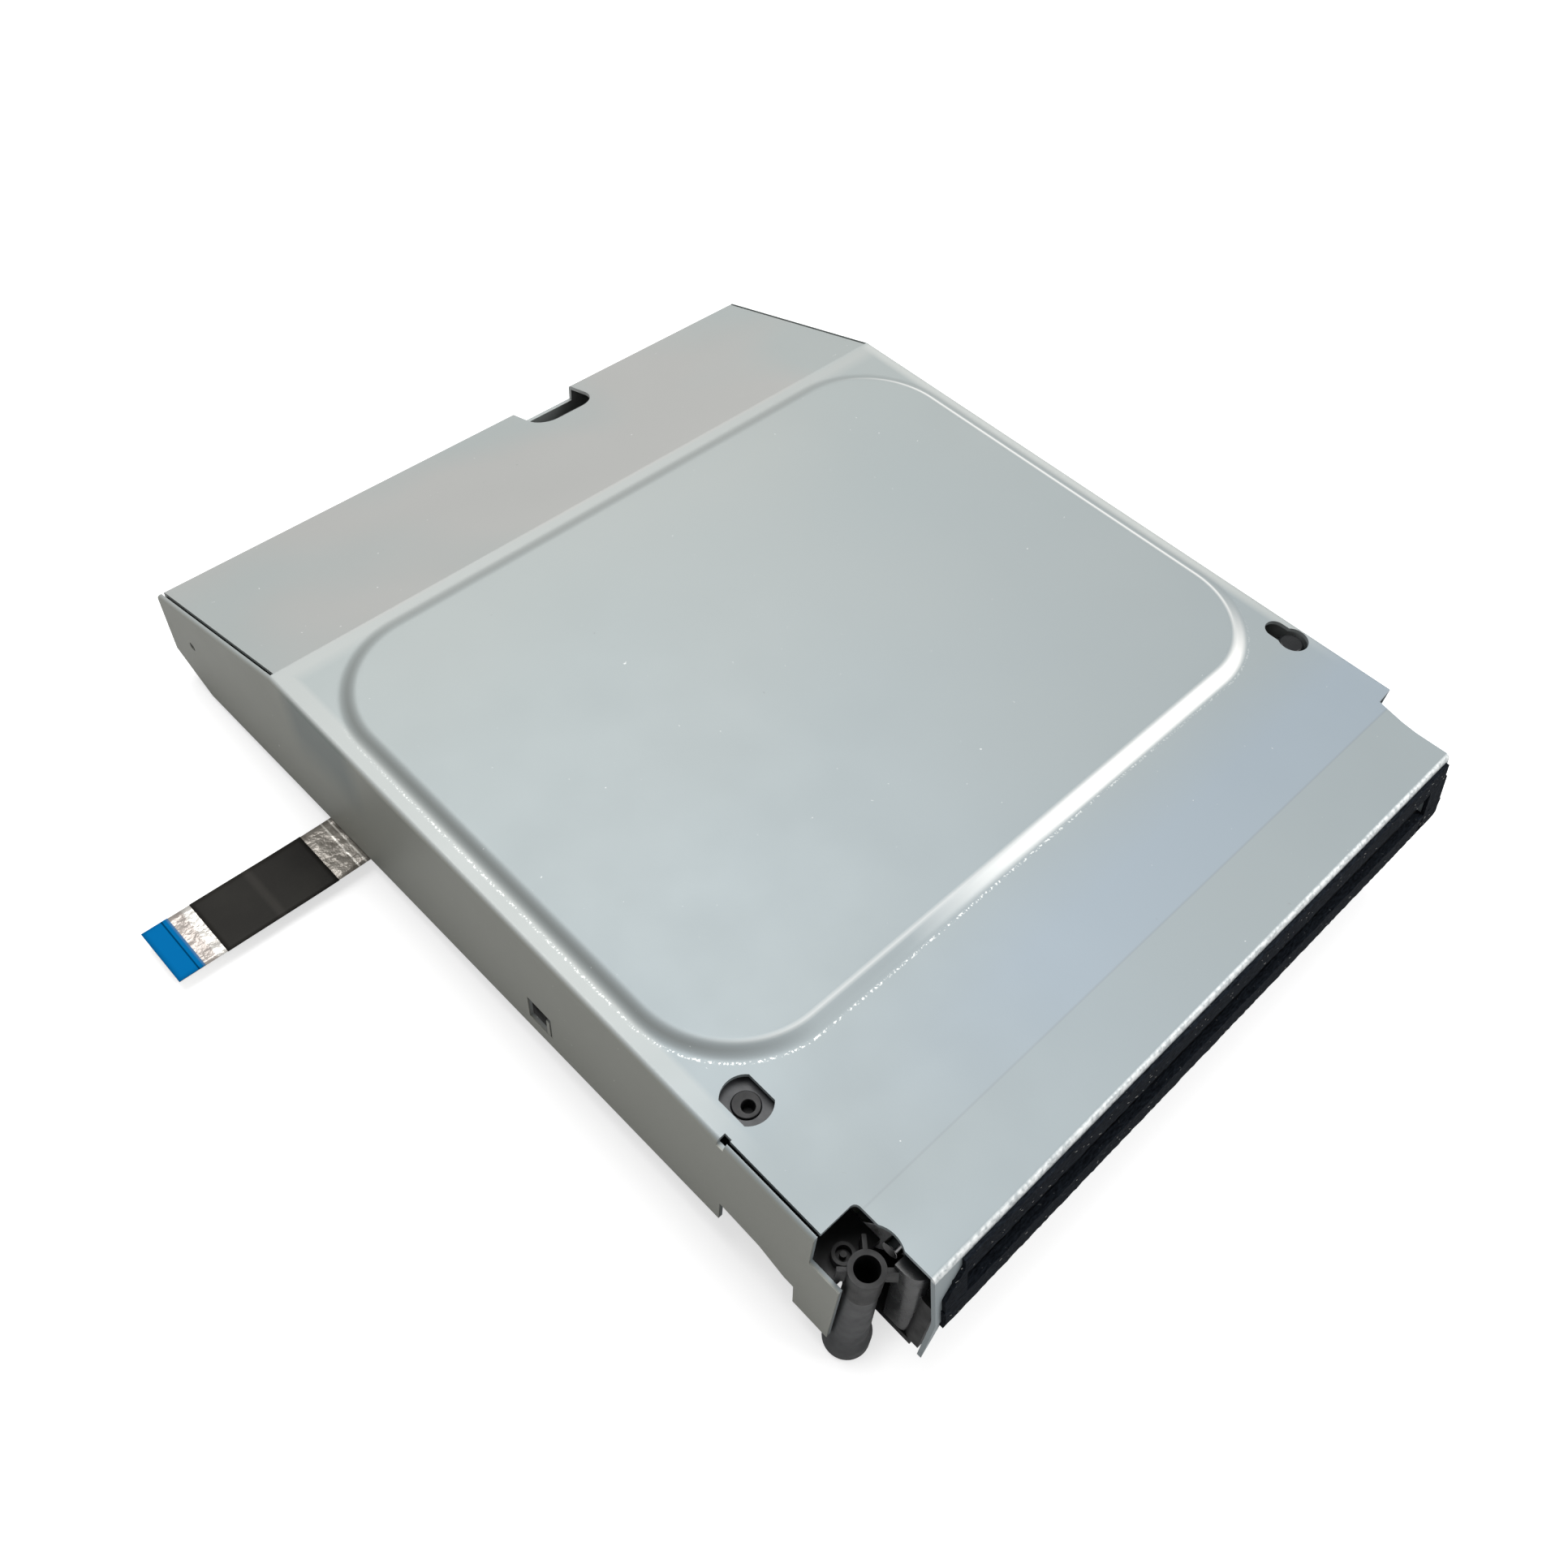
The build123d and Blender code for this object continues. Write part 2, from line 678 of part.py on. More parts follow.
def roller_gear():
    """The gear on the right end of the roller shaft."""
    wheel = Pos(train_x, roller_y, roller_z) * gear(roller_teeth, train_module, gear_face, idler_angle)
    return wheel - bar_x(gear_wall_x, half, roller_y, roller_z, shaft_radius)


def idler_gear():
    """The gear between the roller gear and the double gear."""
    phase = idler_angle + 180 + 180 / idler_teeth
    wheel = Pos(train_x, idler_y, idler_z) * gear(idler_teeth, train_module, gear_face, phase)
    return wheel - bar_x(gear_wall_x, half, idler_y, idler_z, pivot_radius + run_fit)


def double_gear():
    """The reduction gear: a small gear and a large one on one hub."""
    idler_phase = idler_angle + 180 + 180 / idler_teeth
    pitch = 360 / idler_teeth
    off = (small_angle - idler_phase) % pitch
    phase = small_angle + 180 + pitch / 2 + off * idler_teeth / small_teeth
    small = Pos(train_x, double_y, double_z) * gear(small_teeth, train_module, gear_face + gear_gap, phase)
    large = Pos(large_x, double_y, double_z) * gear(large_teeth, motor_module, large_face, pinion_angle)
    wheel = small + large
    return wheel - bar_x(gear_wall_x, half, double_y, double_z, pivot_radius + run_fit)


def motor_pinion():
    """The motor's pinion and shaft."""
    phase = pinion_angle + 180 + 180 / pinion_teeth
    wheel = Pos(large_x, motor_y, motor_z) * gear(pinion_teeth, motor_module, large_face, phase)
    return wheel + bar_x(gear_wall_x - 6, large_x + large_face, motor_y, motor_z, 1.0)


def loading_motor():
    """The loading motor's can, with its flats and front boss."""
    can = bar_x(gear_wall_x - motor_length, gear_wall_x, motor_y, motor_z, motor_radius)
    for side in (-1, 1):
        z0, z1 = sorted((side * (motor_radius - 1.4), side * (motor_radius + 2)))
        flat_start = gear_wall_x - motor_length - 2
        can -= block(flat_start, gear_wall_x + 2, motor_y - 9, motor_y + 9, motor_z + z0, motor_z + z1)
    can += bar_x(gear_wall_x, gear_wall_x + 1.4, motor_y, motor_z, 3.1)
    can += bar_x(gear_wall_x - motor_length - 1.2, gear_wall_x - motor_length, motor_y, motor_z, 2.4)
    return can - bar_x(gear_wall_x - 8, gear_wall_x + 5, motor_y, motor_z, 1.0 + run_fit)


def gear_axles():
    """The steel axles of the idler and the double gear."""
    axles = bar_x(gear_wall_x, train_x + gear_face + 0.2, idler_y, idler_z, pivot_radius)
    return axles + bar_x(gear_wall_x, frame_half - frame_wall, double_y, double_z, pivot_radius)


def bracket_pivots():
    """The two steel pins that the roller bracket turns on."""
    pins = bar_x(-gear_wall_x - 2, -gear_wall_x + 2.4, bracket_pivot_y, bracket_pivot_z, pivot_radius)
    return pins + bar_x(gear_wall_x - 2.4, gear_wall_x + 2, bracket_pivot_y, bracket_pivot_z, pivot_radius)


def cam_slide():
    """The slide with two slanted slots that lifts the deck and lowers the roller."""
    outline = [
        (17, -floor_top + 0.3),
        (17, -23),
        (41, -23),
        (cam_pin_y - 16, -14.6),
        (cam_pin_y + 6, -14.6),
        (cam_pin_y + 30, -22),
        (cam_pin_y + 30, -floor_top + 0.3),
    ]
    slide = side_plate(outline, -cam_outer, -cam_inner)
    rest_y, rest_z = deck_point(cam_pin_y, cam_pin_z)
    top_y = cam_pin_y - cam_travel
    slot_radius = spindle_radius + cam_play
    slide -= lug(top_y, cam_pin_z, rest_y, rest_z, slot_radius, -cam_outer - 1, -cam_inner + 1)
    tilt = radians(bracket_tilt)
    dy = cam_tail_y - bracket_pivot_y
    dz = cam_tail_z - bracket_pivot_z
    end_y = bracket_pivot_y + dy * cos(tilt) - dz * sin(tilt) - cam_travel
    end_z = bracket_pivot_z + dy * sin(tilt) + dz * cos(tilt)
    slide -= lug(end_y, end_z, cam_tail_y, cam_tail_z, slot_radius, -cam_outer - 1, -cam_inner + 1)
    # Rack teeth along the top of the front part
    for tooth in range(7):
        y0 = 19 + tooth * 2.5
        rack = [(y0, -23.2), (y0 + 0.5, -21.8), (y0 + 1.1, -21.8), (y0 + 1.6, -23.2)]
        slide += side_plate(rack, -cam_outer, -cam_inner)
    return slide


def traverse_deck():
    """The steel deck that carries the disc motor and the pickup's rods."""
    low = -deck_top - deck_sheet
    outline = RectangleRounded(2 * deck_half, deck_rear - deck_front, deck_corner)
    plate = flat_plate(Pos(0, (deck_front + deck_rear) / 2) * outline, low, -deck_top)
    plate -= block(rod_left + 3.5, rod_right - 3.5, rod_front + 4.5, rod_rear - 4.5, low - 1, 0)
    plate -= bar_z(low - 1, 0, 0, disc_centre, stator_tube)
    for side in (-1, 1):
        edge_in = side * (deck_half - deck_sheet)
        edge_out = side * deck_half
        plate += block(edge_in, edge_out, deck_front + 8, deck_rear - 2, low - deck_flange, low)
        plate += block(edge_in, edge_out, deck_rear - 8, hinge_y + 3, low - deck_flange, -13.4)
        plate += bar_x(side * (deck_half - 1), side * (ear_inner + 3.2), hinge_y, hinge_z, spindle_radius)
        plate -= bar_z(low - 1, 0, side * (deck_half - 10), deck_front + 14, 2.6)
        long_hole = Pos(side * (deck_half - 12), disc_centre + 33) * Rot(0, 0, 90) * SlotOverall(30, 8)
        plate -= flat_plate(long_hole, low - 1, 0)
    stepper_hole = screw_x + stepper_radius + 0.8
    plate -= block(2 * screw_x - stepper_hole, stepper_hole, stepper_front - 0.7, rod_rear + 2, low - 1,
                   -deck_top + 1)
    plate += block(-deck_half, -deck_half + deck_sheet, cam_pin_y - 3, cam_pin_y + 6, cam_pin_z - 2, low)
    plate += bar_x(-deck_half + 1, -cam_outer - 0.4, cam_pin_y, cam_pin_z, spindle_radius)
    return on_deck(plate)


def guide_rods():
    """The two polished rods that the pickup slides on."""
    rods = bar_y(rod_front, rod_rear, rod_left, rod_z, rod_radius)
    return on_deck(rods + bar_y(rod_front, rod_rear, rod_right, rod_z, rod_radius))


def rod_holders():
    """The moulded blocks that hold the rod ends and the screw's front end."""
    holders = None
    for x in (rod_left, rod_right):
        for y0 in (rod_front, rod_rear - rod_holder):
            holder = block(x - 2.3, x + 2.3, y0, y0 + rod_holder, -deck_top, rod_z + 2.8)
            holder -= bar_y(rod_front - 1, rod_rear + 1, x, rod_z, rod_radius)
            holders = holder if holders is None else holders + holder
    nose = block(screw_x - 2.8, screw_x + 2.8, rod_front, rod_front + 4, -deck_top, rod_z + 2.8)
    nose += block(rod_right + 2.3, screw_x, rod_front, rod_front + 4, -deck_top, rod_z - 1)
    nose -= bar_y(rod_front + 1, rod_front + 5, screw_x, rod_z, rod_radius + run_fit)
    return on_deck(holders + nose)


def lead_screw():
    """The screw that drives the pickup."""
    return on_deck(bar_y(rod_front + 1.4, stepper_front + 0.4, screw_x, rod_z, rod_radius))


def stepper_motor():
    """The small stepper at the rear end of the lead screw, on its flange."""
    left = screw_x - stepper_radius - 0.6
    right = screw_x + stepper_radius + 0.6
    can = bar_y(stepper_front, rod_rear, screw_x, rod_z, stepper_radius)
    can += block(left, right, stepper_front - 1, stepper_front, -deck_top, rod_z + stepper_radius)
    can += block(left, right, stepper_front - 2.8, stepper_front, -deck_top, -deck_top + 0.8)
    return on_deck(can - bar_y(stepper_front - 2, stepper_front + 1, screw_x, rod_z, rod_radius + run_fit))


def pickup_frame():
    """The die-cast body of the optical pickup, with its rod bearings and screw follower."""
    front = pickup_y - pickup_half_depth
    rear = pickup_y + pickup_half_depth
    outline = Pos(1, pickup_y) * RectangleRounded(37, 2 * pickup_half_depth, 3)
    body = flat_plate(outline, -19.4, -11.6)
    body -= flat_plate(Pos(0, pickup_y) * RectangleRounded(19.6, 17.6, 2), -13.9, -10)
    for y0 in (front, rear - 5):
        body += block(rod_left - 2.6, -16, y0, y0 + 5, -15.0, -10.6)
    body += block(19, rod_right + 2.6, pickup_y - 3, pickup_y + 3, -15.0, -10.6)
    body += block(rod_right, screw_x + 2.6, pickup_y - 3, pickup_y + 3, -15.0, -10.6)
    body += block(-12, 14, front + 3, rear - 3, -20.2, -19.4)
    body -= bar_y(front - 1, rear + 1, rod_left, rod_z, rod_radius + run_fit)
    body -= bar_y(front - 1, rear + 1, rod_right, rod_z, rod_radius + run_fit)
    body -= bar_y(front - 1, rear + 1, screw_x, rod_z, rod_radius + run_fit)
    return on_deck(body)


def lens_cover():
    """The moulded cover round the lens window of the pickup."""
    cover = flat_plate(Pos(1, pickup_y) * RectangleRounded(33, 20, 2.5), -11.6, -11.0)
    return on_deck(cover - flat_plate(Pos(0, pickup_y) * RectangleRounded(19.6, 17.6, 2), -12, -10))


def lens_holder():
    """The lens carrier between its two magnets, which moves to focus."""
    holder = flat_plate(Pos(0, pickup_y) * RectangleRounded(12, 9.6, 1.2), -13.0, -10.9)
    for x in (-2.6, 2.6):
        holder -= bar_z(-12.1, -10, x, pickup_y, 2.05)
    return on_deck(holder)


def lenses():
    """The two objective lenses."""
    pair = None
    for x in (-2.6, 2.6):
        lens = bar_z(-12.1, -11.3, x, pickup_y, 2.05)
        lens += Pos(x, pickup_y, -11.1) * Cone(1.75, 0.9, 0.4)
        pair = lens if pair is None else pair + lens
    return on_deck(pair)


def actuator_magnets():
    """The magnets and yokes on each side of the lens carrier."""
    magnets = None
    for side in (-1, 1):
        y0, y1 = sorted((pickup_y + side * 5.3, pickup_y + side * 7.6))
        magnet = block(-5, 5, y0, y1, -13.9, -11.2)
        magnets = magnet if magnets is None else magnets + magnet
    return on_deck(magnets)


def motor_board():
    """The disc motor's circuit plate on the deck."""
    board = flat_plate(Pos(0, disc_centre - 4) * RectangleRounded(44, 26, 6), -deck_top, -deck_top + 0.3)
    return on_deck(board - bar_z(-20, -10, 0, disc_centre, 5))


def motor_stator():
    """The bearing tube and wound core of the disc motor."""
    core_top = -disc_floor - table_thickness - 1.4
    stator = bar_z(-19.2, core_top, 0, disc_centre, stator_tube)
    stator += bar_z(-deck_top + 1.0, core_top, 0, disc_centre, 5.0)
    for pole in range(9):
        arm = Pos(0, disc_centre) * Rot(0, 0, 40 * pole) * Pos(7.4, 0) * Rectangle(6.4, 1.9)
        stator += flat_plate(arm, -deck_top + 1.2, core_top - 0.4)
    stator -= bar_z(-18.2, 0, 0, disc_centre, spindle_radius + run_fit)
    foot = bar_z(-deck_top, -deck_top + 1.2, 0, disc_centre, 5.0)
    stator += foot - bar_z(-20, 0, 0, disc_centre, stator_tube)
    return on_deck(stator)


def turntable():
    """The disc table, its centring cone and the motor's rotor cup on one shaft."""
    top = -disc_floor
    under = top - table_thickness
    table = bar_z(under, top, 0, disc_centre, table_radius)
    table += Pos(0, disc_centre, top + cone_height / 2) * Cone(cone_radius, 5.2, cone_height)
    cup = bar_z(under - rotor_height, under, 0, disc_centre, rotor_radius)
    cup -= bar_z(under - rotor_height - 1, under - 0.8, 0, disc_centre, rotor_radius - 1.2)
    table += cup
    table += bar_z(-17.9, under, 0, disc_centre, spindle_radius)
    groove = bar_z(top - pad_thickness, top + 1, 0, disc_centre, pad_outer)
    return on_deck(table - (groove - bar_z(top - 1, top + 2, 0, disc_centre, pad_inner)))


def table_pad():
    """The rubber ring that the disc sits on."""
    ring = bar_z(-disc_floor - pad_thickness, -disc_floor, 0, disc_centre, pad_outer)
    return on_deck(ring - bar_z(-disc_floor - 1, -disc_floor + 1, 0, disc_centre, pad_inner))


def disc_arm(x, y, side, hub):
    """A disc arm: a hub on its boss, a tapered plate and a pin seat at the tip."""
    angle = radians(arm_rest_angle)
    tip_x = x - side * arm_reach * cos(angle)
    tip_y = y + arm_reach * sin(angle)
    turn = degrees(atan2(tip_y - y, tip_x - x))
    near = hub * 0.85
    far = arm_tip * 0.9
    taper = make_face(Polyline((0, near), (arm_reach, far), (arm_reach, -far), (0, -near), close=True))
    window = Pos(arm_reach * 0.5, 0) * SlotOverall(10, 2.4)
    arm = flat_plate(Pos(x, y) * Rot(0, 0, turn) * (taper - window), -arm_top - arm_sheet, -arm_top)
    arm += bar_z(-arm_top - arm_sheet, -arm_top, tip_x, tip_y, arm_tip)
    arm += bar_z(-6.0, -arm_top, x, y, hub)
    arm += bar_z(-9.9, -arm_top, tip_x, tip_y, 1.2)
    return arm - bar_z(-10, 0, x, y, arm_pin + run_fit)


def arm_roller(x, y, side):
    """The soft roller on an arm's tip that rides on the disc's edge."""
    angle = radians(arm_rest_angle)
    tip_x = x - side * arm_reach * cos(angle)
    tip_y = y + arm_reach * sin(angle)
    spool = bar_z(-9.6, -arm_top - arm_sheet - 0.2, tip_x, tip_y, 2.6)
    spool -= bar_z(-9.0, -6.0, tip_x, tip_y, 3.0) - bar_z(-9.0, -6.0, tip_x, tip_y, 2.1)
    return spool - bar_z(-11, 0, tip_x, tip_y, 1.2)


def guide_pin():
    """The headed steel pin that shows in the keyhole of the top sheet."""
    pin = bar_z(-8.2, -2.4, guide_x, guide_y, guide_radius)
    head = bar_z(-2.4, -0.9, guide_x, guide_y, guide_head)
    return pin + chamfer(head.edges().filter_by(GeomType.CIRCLE).sort_by(Axis.Z)[-1:], 0.6)


def relay_board():
    """The small circuit board that the ribbon plugs into."""
    board = block(-50, -27, ribbon_y - 14, ribbon_y + 16, -floor_top, -floor_top + 1.0)
    for dy in board_screw_rows:
        board -= bar_z(-floor_top - 1, 0, board_screw_x, ribbon_y + dy, screw_radius + 0.2)
    return board


def ribbon_socket():
    """The ribbon's socket on the relay board."""
    low = -floor_top + 1.0
    socket = block(-33.0, -28.6, ribbon_y - 8.2, ribbon_y + 8.2, low, low + 2.2)
    return socket + block(-33.0, -32.0, ribbon_y - 8.2, ribbon_y - 6.6, low, low + 2.6)


def board_chips():
    """The driver chip and the small parts on the relay board."""
    low = -floor_top + 1.0
    chips = block(-44, -37, ribbon_y + 8.4, ribbon_y + 14, low, low + 0.9)
    for spot in range(4):
        chips += block(-42 + 2.6 * spot, -40.6 + 2.6 * spot, ribbon_y - 12, ribbon_y - 11.2, low, low + 0.6)
    return chips


def frame_screws():
    """The pan head screws that hold the board and the deck's motor plate."""
    screws = None
    for dy in board_screw_rows:
        screw = bar_z(-floor_top - 1.2, -floor_top + 1.0, board_screw_x, ribbon_y + dy, screw_radius)
        screw += bar_z(-floor_top + 1.0, -floor_top + 2.0, board_screw_x, ribbon_y + dy, 2.0)
        screws = screw if screws is None else screws + screw
    return screws


def ribbon():
    """The flat ribbon cable, from its socket out under the left wall."""
    runs = [(x, z) for x, z in ribbon_points]
    last_x, last_z = runs[-1]
    runs[-1] = (last_x + ribbon_tab, last_z)
    points = [Vector(x, ribbon_y, z) for x, z in runs]
    radii = []
    for before, point, after in zip(points, points[1:], points[2:]):
        short = min((point - before).length, (after - point).length)
        turn = (point - before).get_angle(after - point)
        radii.append(0.45 * short / tan(radians(turn / 2)))
    print("ribbon bend radii, mm:", [round(r) for r in radii])
    path = FilletPolyline(*points, radius=radii)
    start = Plane(path @ 0, x_dir=(0, 1, 0), z_dir=path % 0)
    cable = sweep(start * Rectangle(ribbon_width, ribbon_thickness), path)
    print("ribbon length, mm:", round(path.length, 1), "volume share:",
          round(cable.volume / (path.length * ribbon_width * ribbon_thickness), 4))
    return cable


def ribbon_end():
    """The stiffened end of the ribbon that goes into the console's socket."""
    x, z = ribbon_points[-1]
    front = ribbon_y - ribbon_width / 2
    rear = ribbon_y + ribbon_width / 2
    return block(x, x + ribbon_tab, front, rear, z - ribbon_thickness, z + ribbon_thickness)


nodes = {
    "top_cover": top_cover,
    "upper_felt": upper_felt,
    "lower_felt": lower_felt,
    "base_frame": base_frame,
    "frame_walls": frame_walls,
    "frame_back_wall": frame_back_wall,
    "frame_ribs": frame_ribs,
    "frame_bosses": frame_bosses,
    "front_frame": front_frame,
    "gear_wall": gear_wall,
    "left_bracket": left_bracket,
    "corner_shelf": corner_shelf,
    "post_front_left": lambda: post(-corner_post_x, corner_post_y, corner_post_top),
    "post_front_right": lambda: post(inner_post_x, inner_post_y, short_post_top),
    "post_rear_left": lambda: post(-rear_post_x, rear_post_y, short_post_top),
    "post_rear_right": lambda: post(rear_post_x, rear_post_y, short_post_top),
    "clamp_bridge": clamp_bridge,
    "clamp_puck": clamp_puck,
    "roller_bracket": roller_bracket,
    "roller_shaft": roller_shaft,
    "roller_rubber": roller_rubber,
    "roller_gear": roller_gear,
    "idler_gear": idler_gear,
    "double_gear": double_gear,
    "motor_pinion": motor_pinion,
    "loading_motor": loading_motor,
    "gear_axles": gear_axles,
    "bracket_pivots": bracket_pivots,
    "cam_slide": cam_slide,
    "traverse_deck": traverse_deck,
    "guide_rods": guide_rods,
    "rod_holders": rod_holders,
    "lead_screw": lead_screw,
    "stepper_motor": stepper_motor,
    "pickup_frame": pickup_frame,
    "lens_cover": lens_cover,
    "lens_holder": lens_holder,
    "lenses": lenses,
    "actuator_magnets": actuator_magnets,
    "motor_board": motor_board,
    "motor_stator": motor_stator,
    "turntable": turntable,
    "table_pad": table_pad,
    "disc_arm_left": lambda: disc_arm(arm_left_x, arm_left_y, -1, arm_left_hub),
    "disc_arm_right": lambda: disc_arm(arm_right_x, arm_right_y, 1, arm_right_hub),
    "arm_roller_left": lambda: arm_roller(arm_left_x, arm_left_y, -1),
    "arm_roller_right": lambda: arm_roller(arm_right_x, arm_right_y, 1),
    "guide_pin": guide_pin,
    "relay_board": relay_board,
    "ribbon_socket": ribbon_socket,
    "board_chips": board_chips,
    "frame_screws": frame_screws,
    "ribbon": ribbon,
    "ribbon_end": ribbon_end,
}

os.makedirs("parts", exist_ok=True)
for name, make in nodes.items():
    export_step(place * make(), f"parts/{name}.step")
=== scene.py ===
# %% [markdown]
# # A slot-loading disc drive, dressed piece by piece
#
# The drive is a flat case of galvanised sheet with a felt-lined slot in front and a short ribbon
# at its left side. The construction is loaded first: every piece is already there at its real
# size, and this lesson gives each one the surface that the real one has. Everything is in metres.

# %% Load the construction
import math
import random

import bmesh
import bpy
from mathutils import Matrix, Vector
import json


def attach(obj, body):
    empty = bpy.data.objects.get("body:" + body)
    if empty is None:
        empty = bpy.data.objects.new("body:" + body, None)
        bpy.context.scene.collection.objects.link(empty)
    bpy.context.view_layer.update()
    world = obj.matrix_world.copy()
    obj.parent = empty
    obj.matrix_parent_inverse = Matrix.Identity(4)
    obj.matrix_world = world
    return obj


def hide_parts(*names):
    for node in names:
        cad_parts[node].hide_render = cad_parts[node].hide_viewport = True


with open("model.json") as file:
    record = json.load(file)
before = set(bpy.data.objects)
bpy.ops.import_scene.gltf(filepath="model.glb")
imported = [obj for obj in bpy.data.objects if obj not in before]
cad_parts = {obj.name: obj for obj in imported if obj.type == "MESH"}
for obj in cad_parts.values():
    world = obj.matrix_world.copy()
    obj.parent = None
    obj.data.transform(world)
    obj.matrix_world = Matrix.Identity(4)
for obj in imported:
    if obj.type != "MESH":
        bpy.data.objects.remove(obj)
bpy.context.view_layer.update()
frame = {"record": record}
mm = 0.001

# %% [markdown]
# ## The camera
#
# The photographer stood in front of the drive's left corner and looked down at it. Three angles
# say how the camera is turned, and its height above the table is a plain distance. A slight
# roll matters: without it the long edges would lean the wrong way in the picture.

# %% Camera
camera_place = Vector((-0.135417, -0.117743, 0.226503))
camera_azimuth = math.radians(-48.996)
camera_elevation = math.radians(52.442)
camera_roll = math.radians(6.120)
camera_lens = 33.30

camera_data = bpy.data.cameras.new("camera")
camera_data.lens = camera_lens
camera_data.sensor_width = 36
camera_data.clip_start = 0.01
camera = bpy.data.objects.new("camera", camera_data)
bpy.context.scene.collection.objects.link(camera)
turn = Matrix.Rotation(camera_azimuth, 4, "Z") @ Matrix.Rotation(math.pi / 2 - camera_elevation, 4, "X")
camera.matrix_world = Matrix.Translation(camera_place) @ turn @ Matrix.Rotation(camera_roll, 4, "Z")
bpy.context.scene.camera = camera
print("camera looks along", [round(c, 3) for c in camera.matrix_world.to_3x3() @ Vector((0, 0, -1))])

# %% [markdown]
# ## Floor and light
#
# A product picture on white needs a floor that reads as white and still keeps a soft shadow. The
# floor is a pale surface that glows a little for the camera only, and the world is white where the
# camera, or a ray through glass, looks at it, and dimmer as a light. One large lamp above and behind
# the drive lights the top sheet and leaves the left wall in shade, deepened by painted shade.

# %% Floor
floor_size = 6.0
floor_mesh = bpy.data.meshes.new("floor")
floor_form = bmesh.new()
bmesh.ops.create_grid(floor_form, x_segments=1, y_segments=1, size=floor_size / 2)
floor_form.to_mesh(floor_mesh)
floor_form.free()
floor = bpy.data.objects.new("floor", floor_mesh)
bpy.context.scene.collection.objects.link(floor)


def add_node(tree, kind, **settings):
    """A shader node with its settings; a name such as Scale sets the input of that name."""
    node = tree.nodes.new(kind)
    for name, value in settings.items():
        if name in node.inputs:
            node.inputs[name].default_value = value
        else:
            setattr(node, name, value)
    return node


floor_paint = bpy.data.materials.new("pale_floor")
floor_paint.use_nodes = True
tree = floor_paint.node_tree
lit = tree.nodes["Principled BSDF"]
lit.inputs["Base Color"].default_value = (0.62, 0.62, 0.62, 1)
lit.inputs["Roughness"].default_value = 0.9
rays = add_node(tree, "ShaderNodeLightPath")
glow = add_node(tree, "ShaderNodeEmission", Strength=0.62)
seen = add_node(tree, "ShaderNodeMixShader")
both = add_node(tree, "ShaderNodeAddShader")
tree.links.new(lit.outputs[0], both.inputs[0])
tree.links.new(glow.outputs[0], both.inputs[1])
tree.links.new(rays.outputs["Is Camera Ray"], seen.inputs[0])
tree.links.new(lit.outputs[0], seen.inputs[1])
tree.links.new(both.outputs[0], seen.inputs[2])
tree.links.new(seen.outputs[0], tree.nodes["Material Output"].inputs[0])
floor.data.materials.append(floor_paint)
print("floor is", floor_size, "m wide")

# %% World and lamps
world = bpy.data.worlds.new("studio")
world.use_nodes = True
bpy.context.scene.world = world
tree = world.node_tree
backdrop = tree.nodes["Background"]
backdrop.inputs["Color"].default_value = (1, 1, 1, 1)
rays = add_node(tree, "ShaderNodeLightPath")
shown = add_node(tree, "ShaderNodeMath", operation="MAXIMUM")
level = add_node(tree, "ShaderNodeMapRange")
level.inputs["To Min"].default_value = 0.42
level.inputs["To Max"].default_value = 1.0
tree.links.new(rays.outputs["Is Camera Ray"], shown.inputs[0])
tree.links.new(rays.outputs["Is Transmission Ray"], shown.inputs[1])
tree.links.new(shown.outputs[0], level.inputs["Value"])
tree.links.new(level.outputs[0], backdrop.inputs["Strength"])


def add_lamp(name, place, target, size, power):
    """A square area lamp that looks at a point."""
    data = bpy.data.lights.new(name, "AREA")
    data.size = size
    data.energy = power
    lamp = bpy.data.objects.new(name, data)
    away = Vector(place) - Vector(target)
    lamp.matrix_world = Matrix.Translation(place) @ away.to_track_quat("Z", "Y").to_matrix().to_4x4()
    bpy.context.scene.collection.objects.link(lamp)
    return lamp


add_lamp("key_lamp", (0.15, 0.35, 1.25), (0, 0, 0), 0.9, 15)
add_lamp("fill_lamp", (0.62, -0.66, 0.82), (0, 0, 0), 0.55, 6)
bpy.context.scene.view_settings.view_transform = "Standard"
print("two lamps and a white world")

# %% [markdown]
# ## The ribbon
#
# A flat ribbon cable leaves the drive under its left wall and ends in a stiff blue tab. It is a
# springy film 12.6 mm wide, so it runs out almost straight with a slow rise and fall. Its route is
# a NURBS line, and strips of film are drawn out along the points of that line by extruding one
# edge, step by step, so the film bends as one piece.

# %% Route of the ribbon
ribbon_width = 12.6 * mm
ribbon_y = 38.95 * mm
ribbon_route = [
    (-33.0, 4.4),
    (-51.0, 4.15),
    (-67.0, 3.2),
    (-83.0, 2.8),
    (-99.0, 3.1),
    (-113.2, 3.2),
]
route_curve = bpy.data.curves.new("ribbon_route", "CURVE")
route_curve.dimensions = "3D"
route_curve.resolution_u = 24
spline = route_curve.splines.new("NURBS")
spline.points.add(len(ribbon_route) - 1)
for point, (x, z) in zip(spline.points, ribbon_route):
    point.co = (x * mm, ribbon_y, z * mm, 1)
spline.order_u = 3
spline.use_endpoint_u = True
route_object = bpy.data.objects.new("ribbon_route", route_curve)
route_mesh = bpy.data.meshes.new_from_object(route_object)
route = [v.co.copy() for v in route_mesh.vertices]
if route[0].x < route[-1].x:
    route.reverse()
bpy.data.objects.remove(route_object)
reach = [0.0]
for before, after in zip(route, route[1:]):
    reach.append(reach[-1] + (after - before).length)
ribbon_length = reach[-1]
print("ribbon length, mm:", round(ribbon_length / mm, 1))


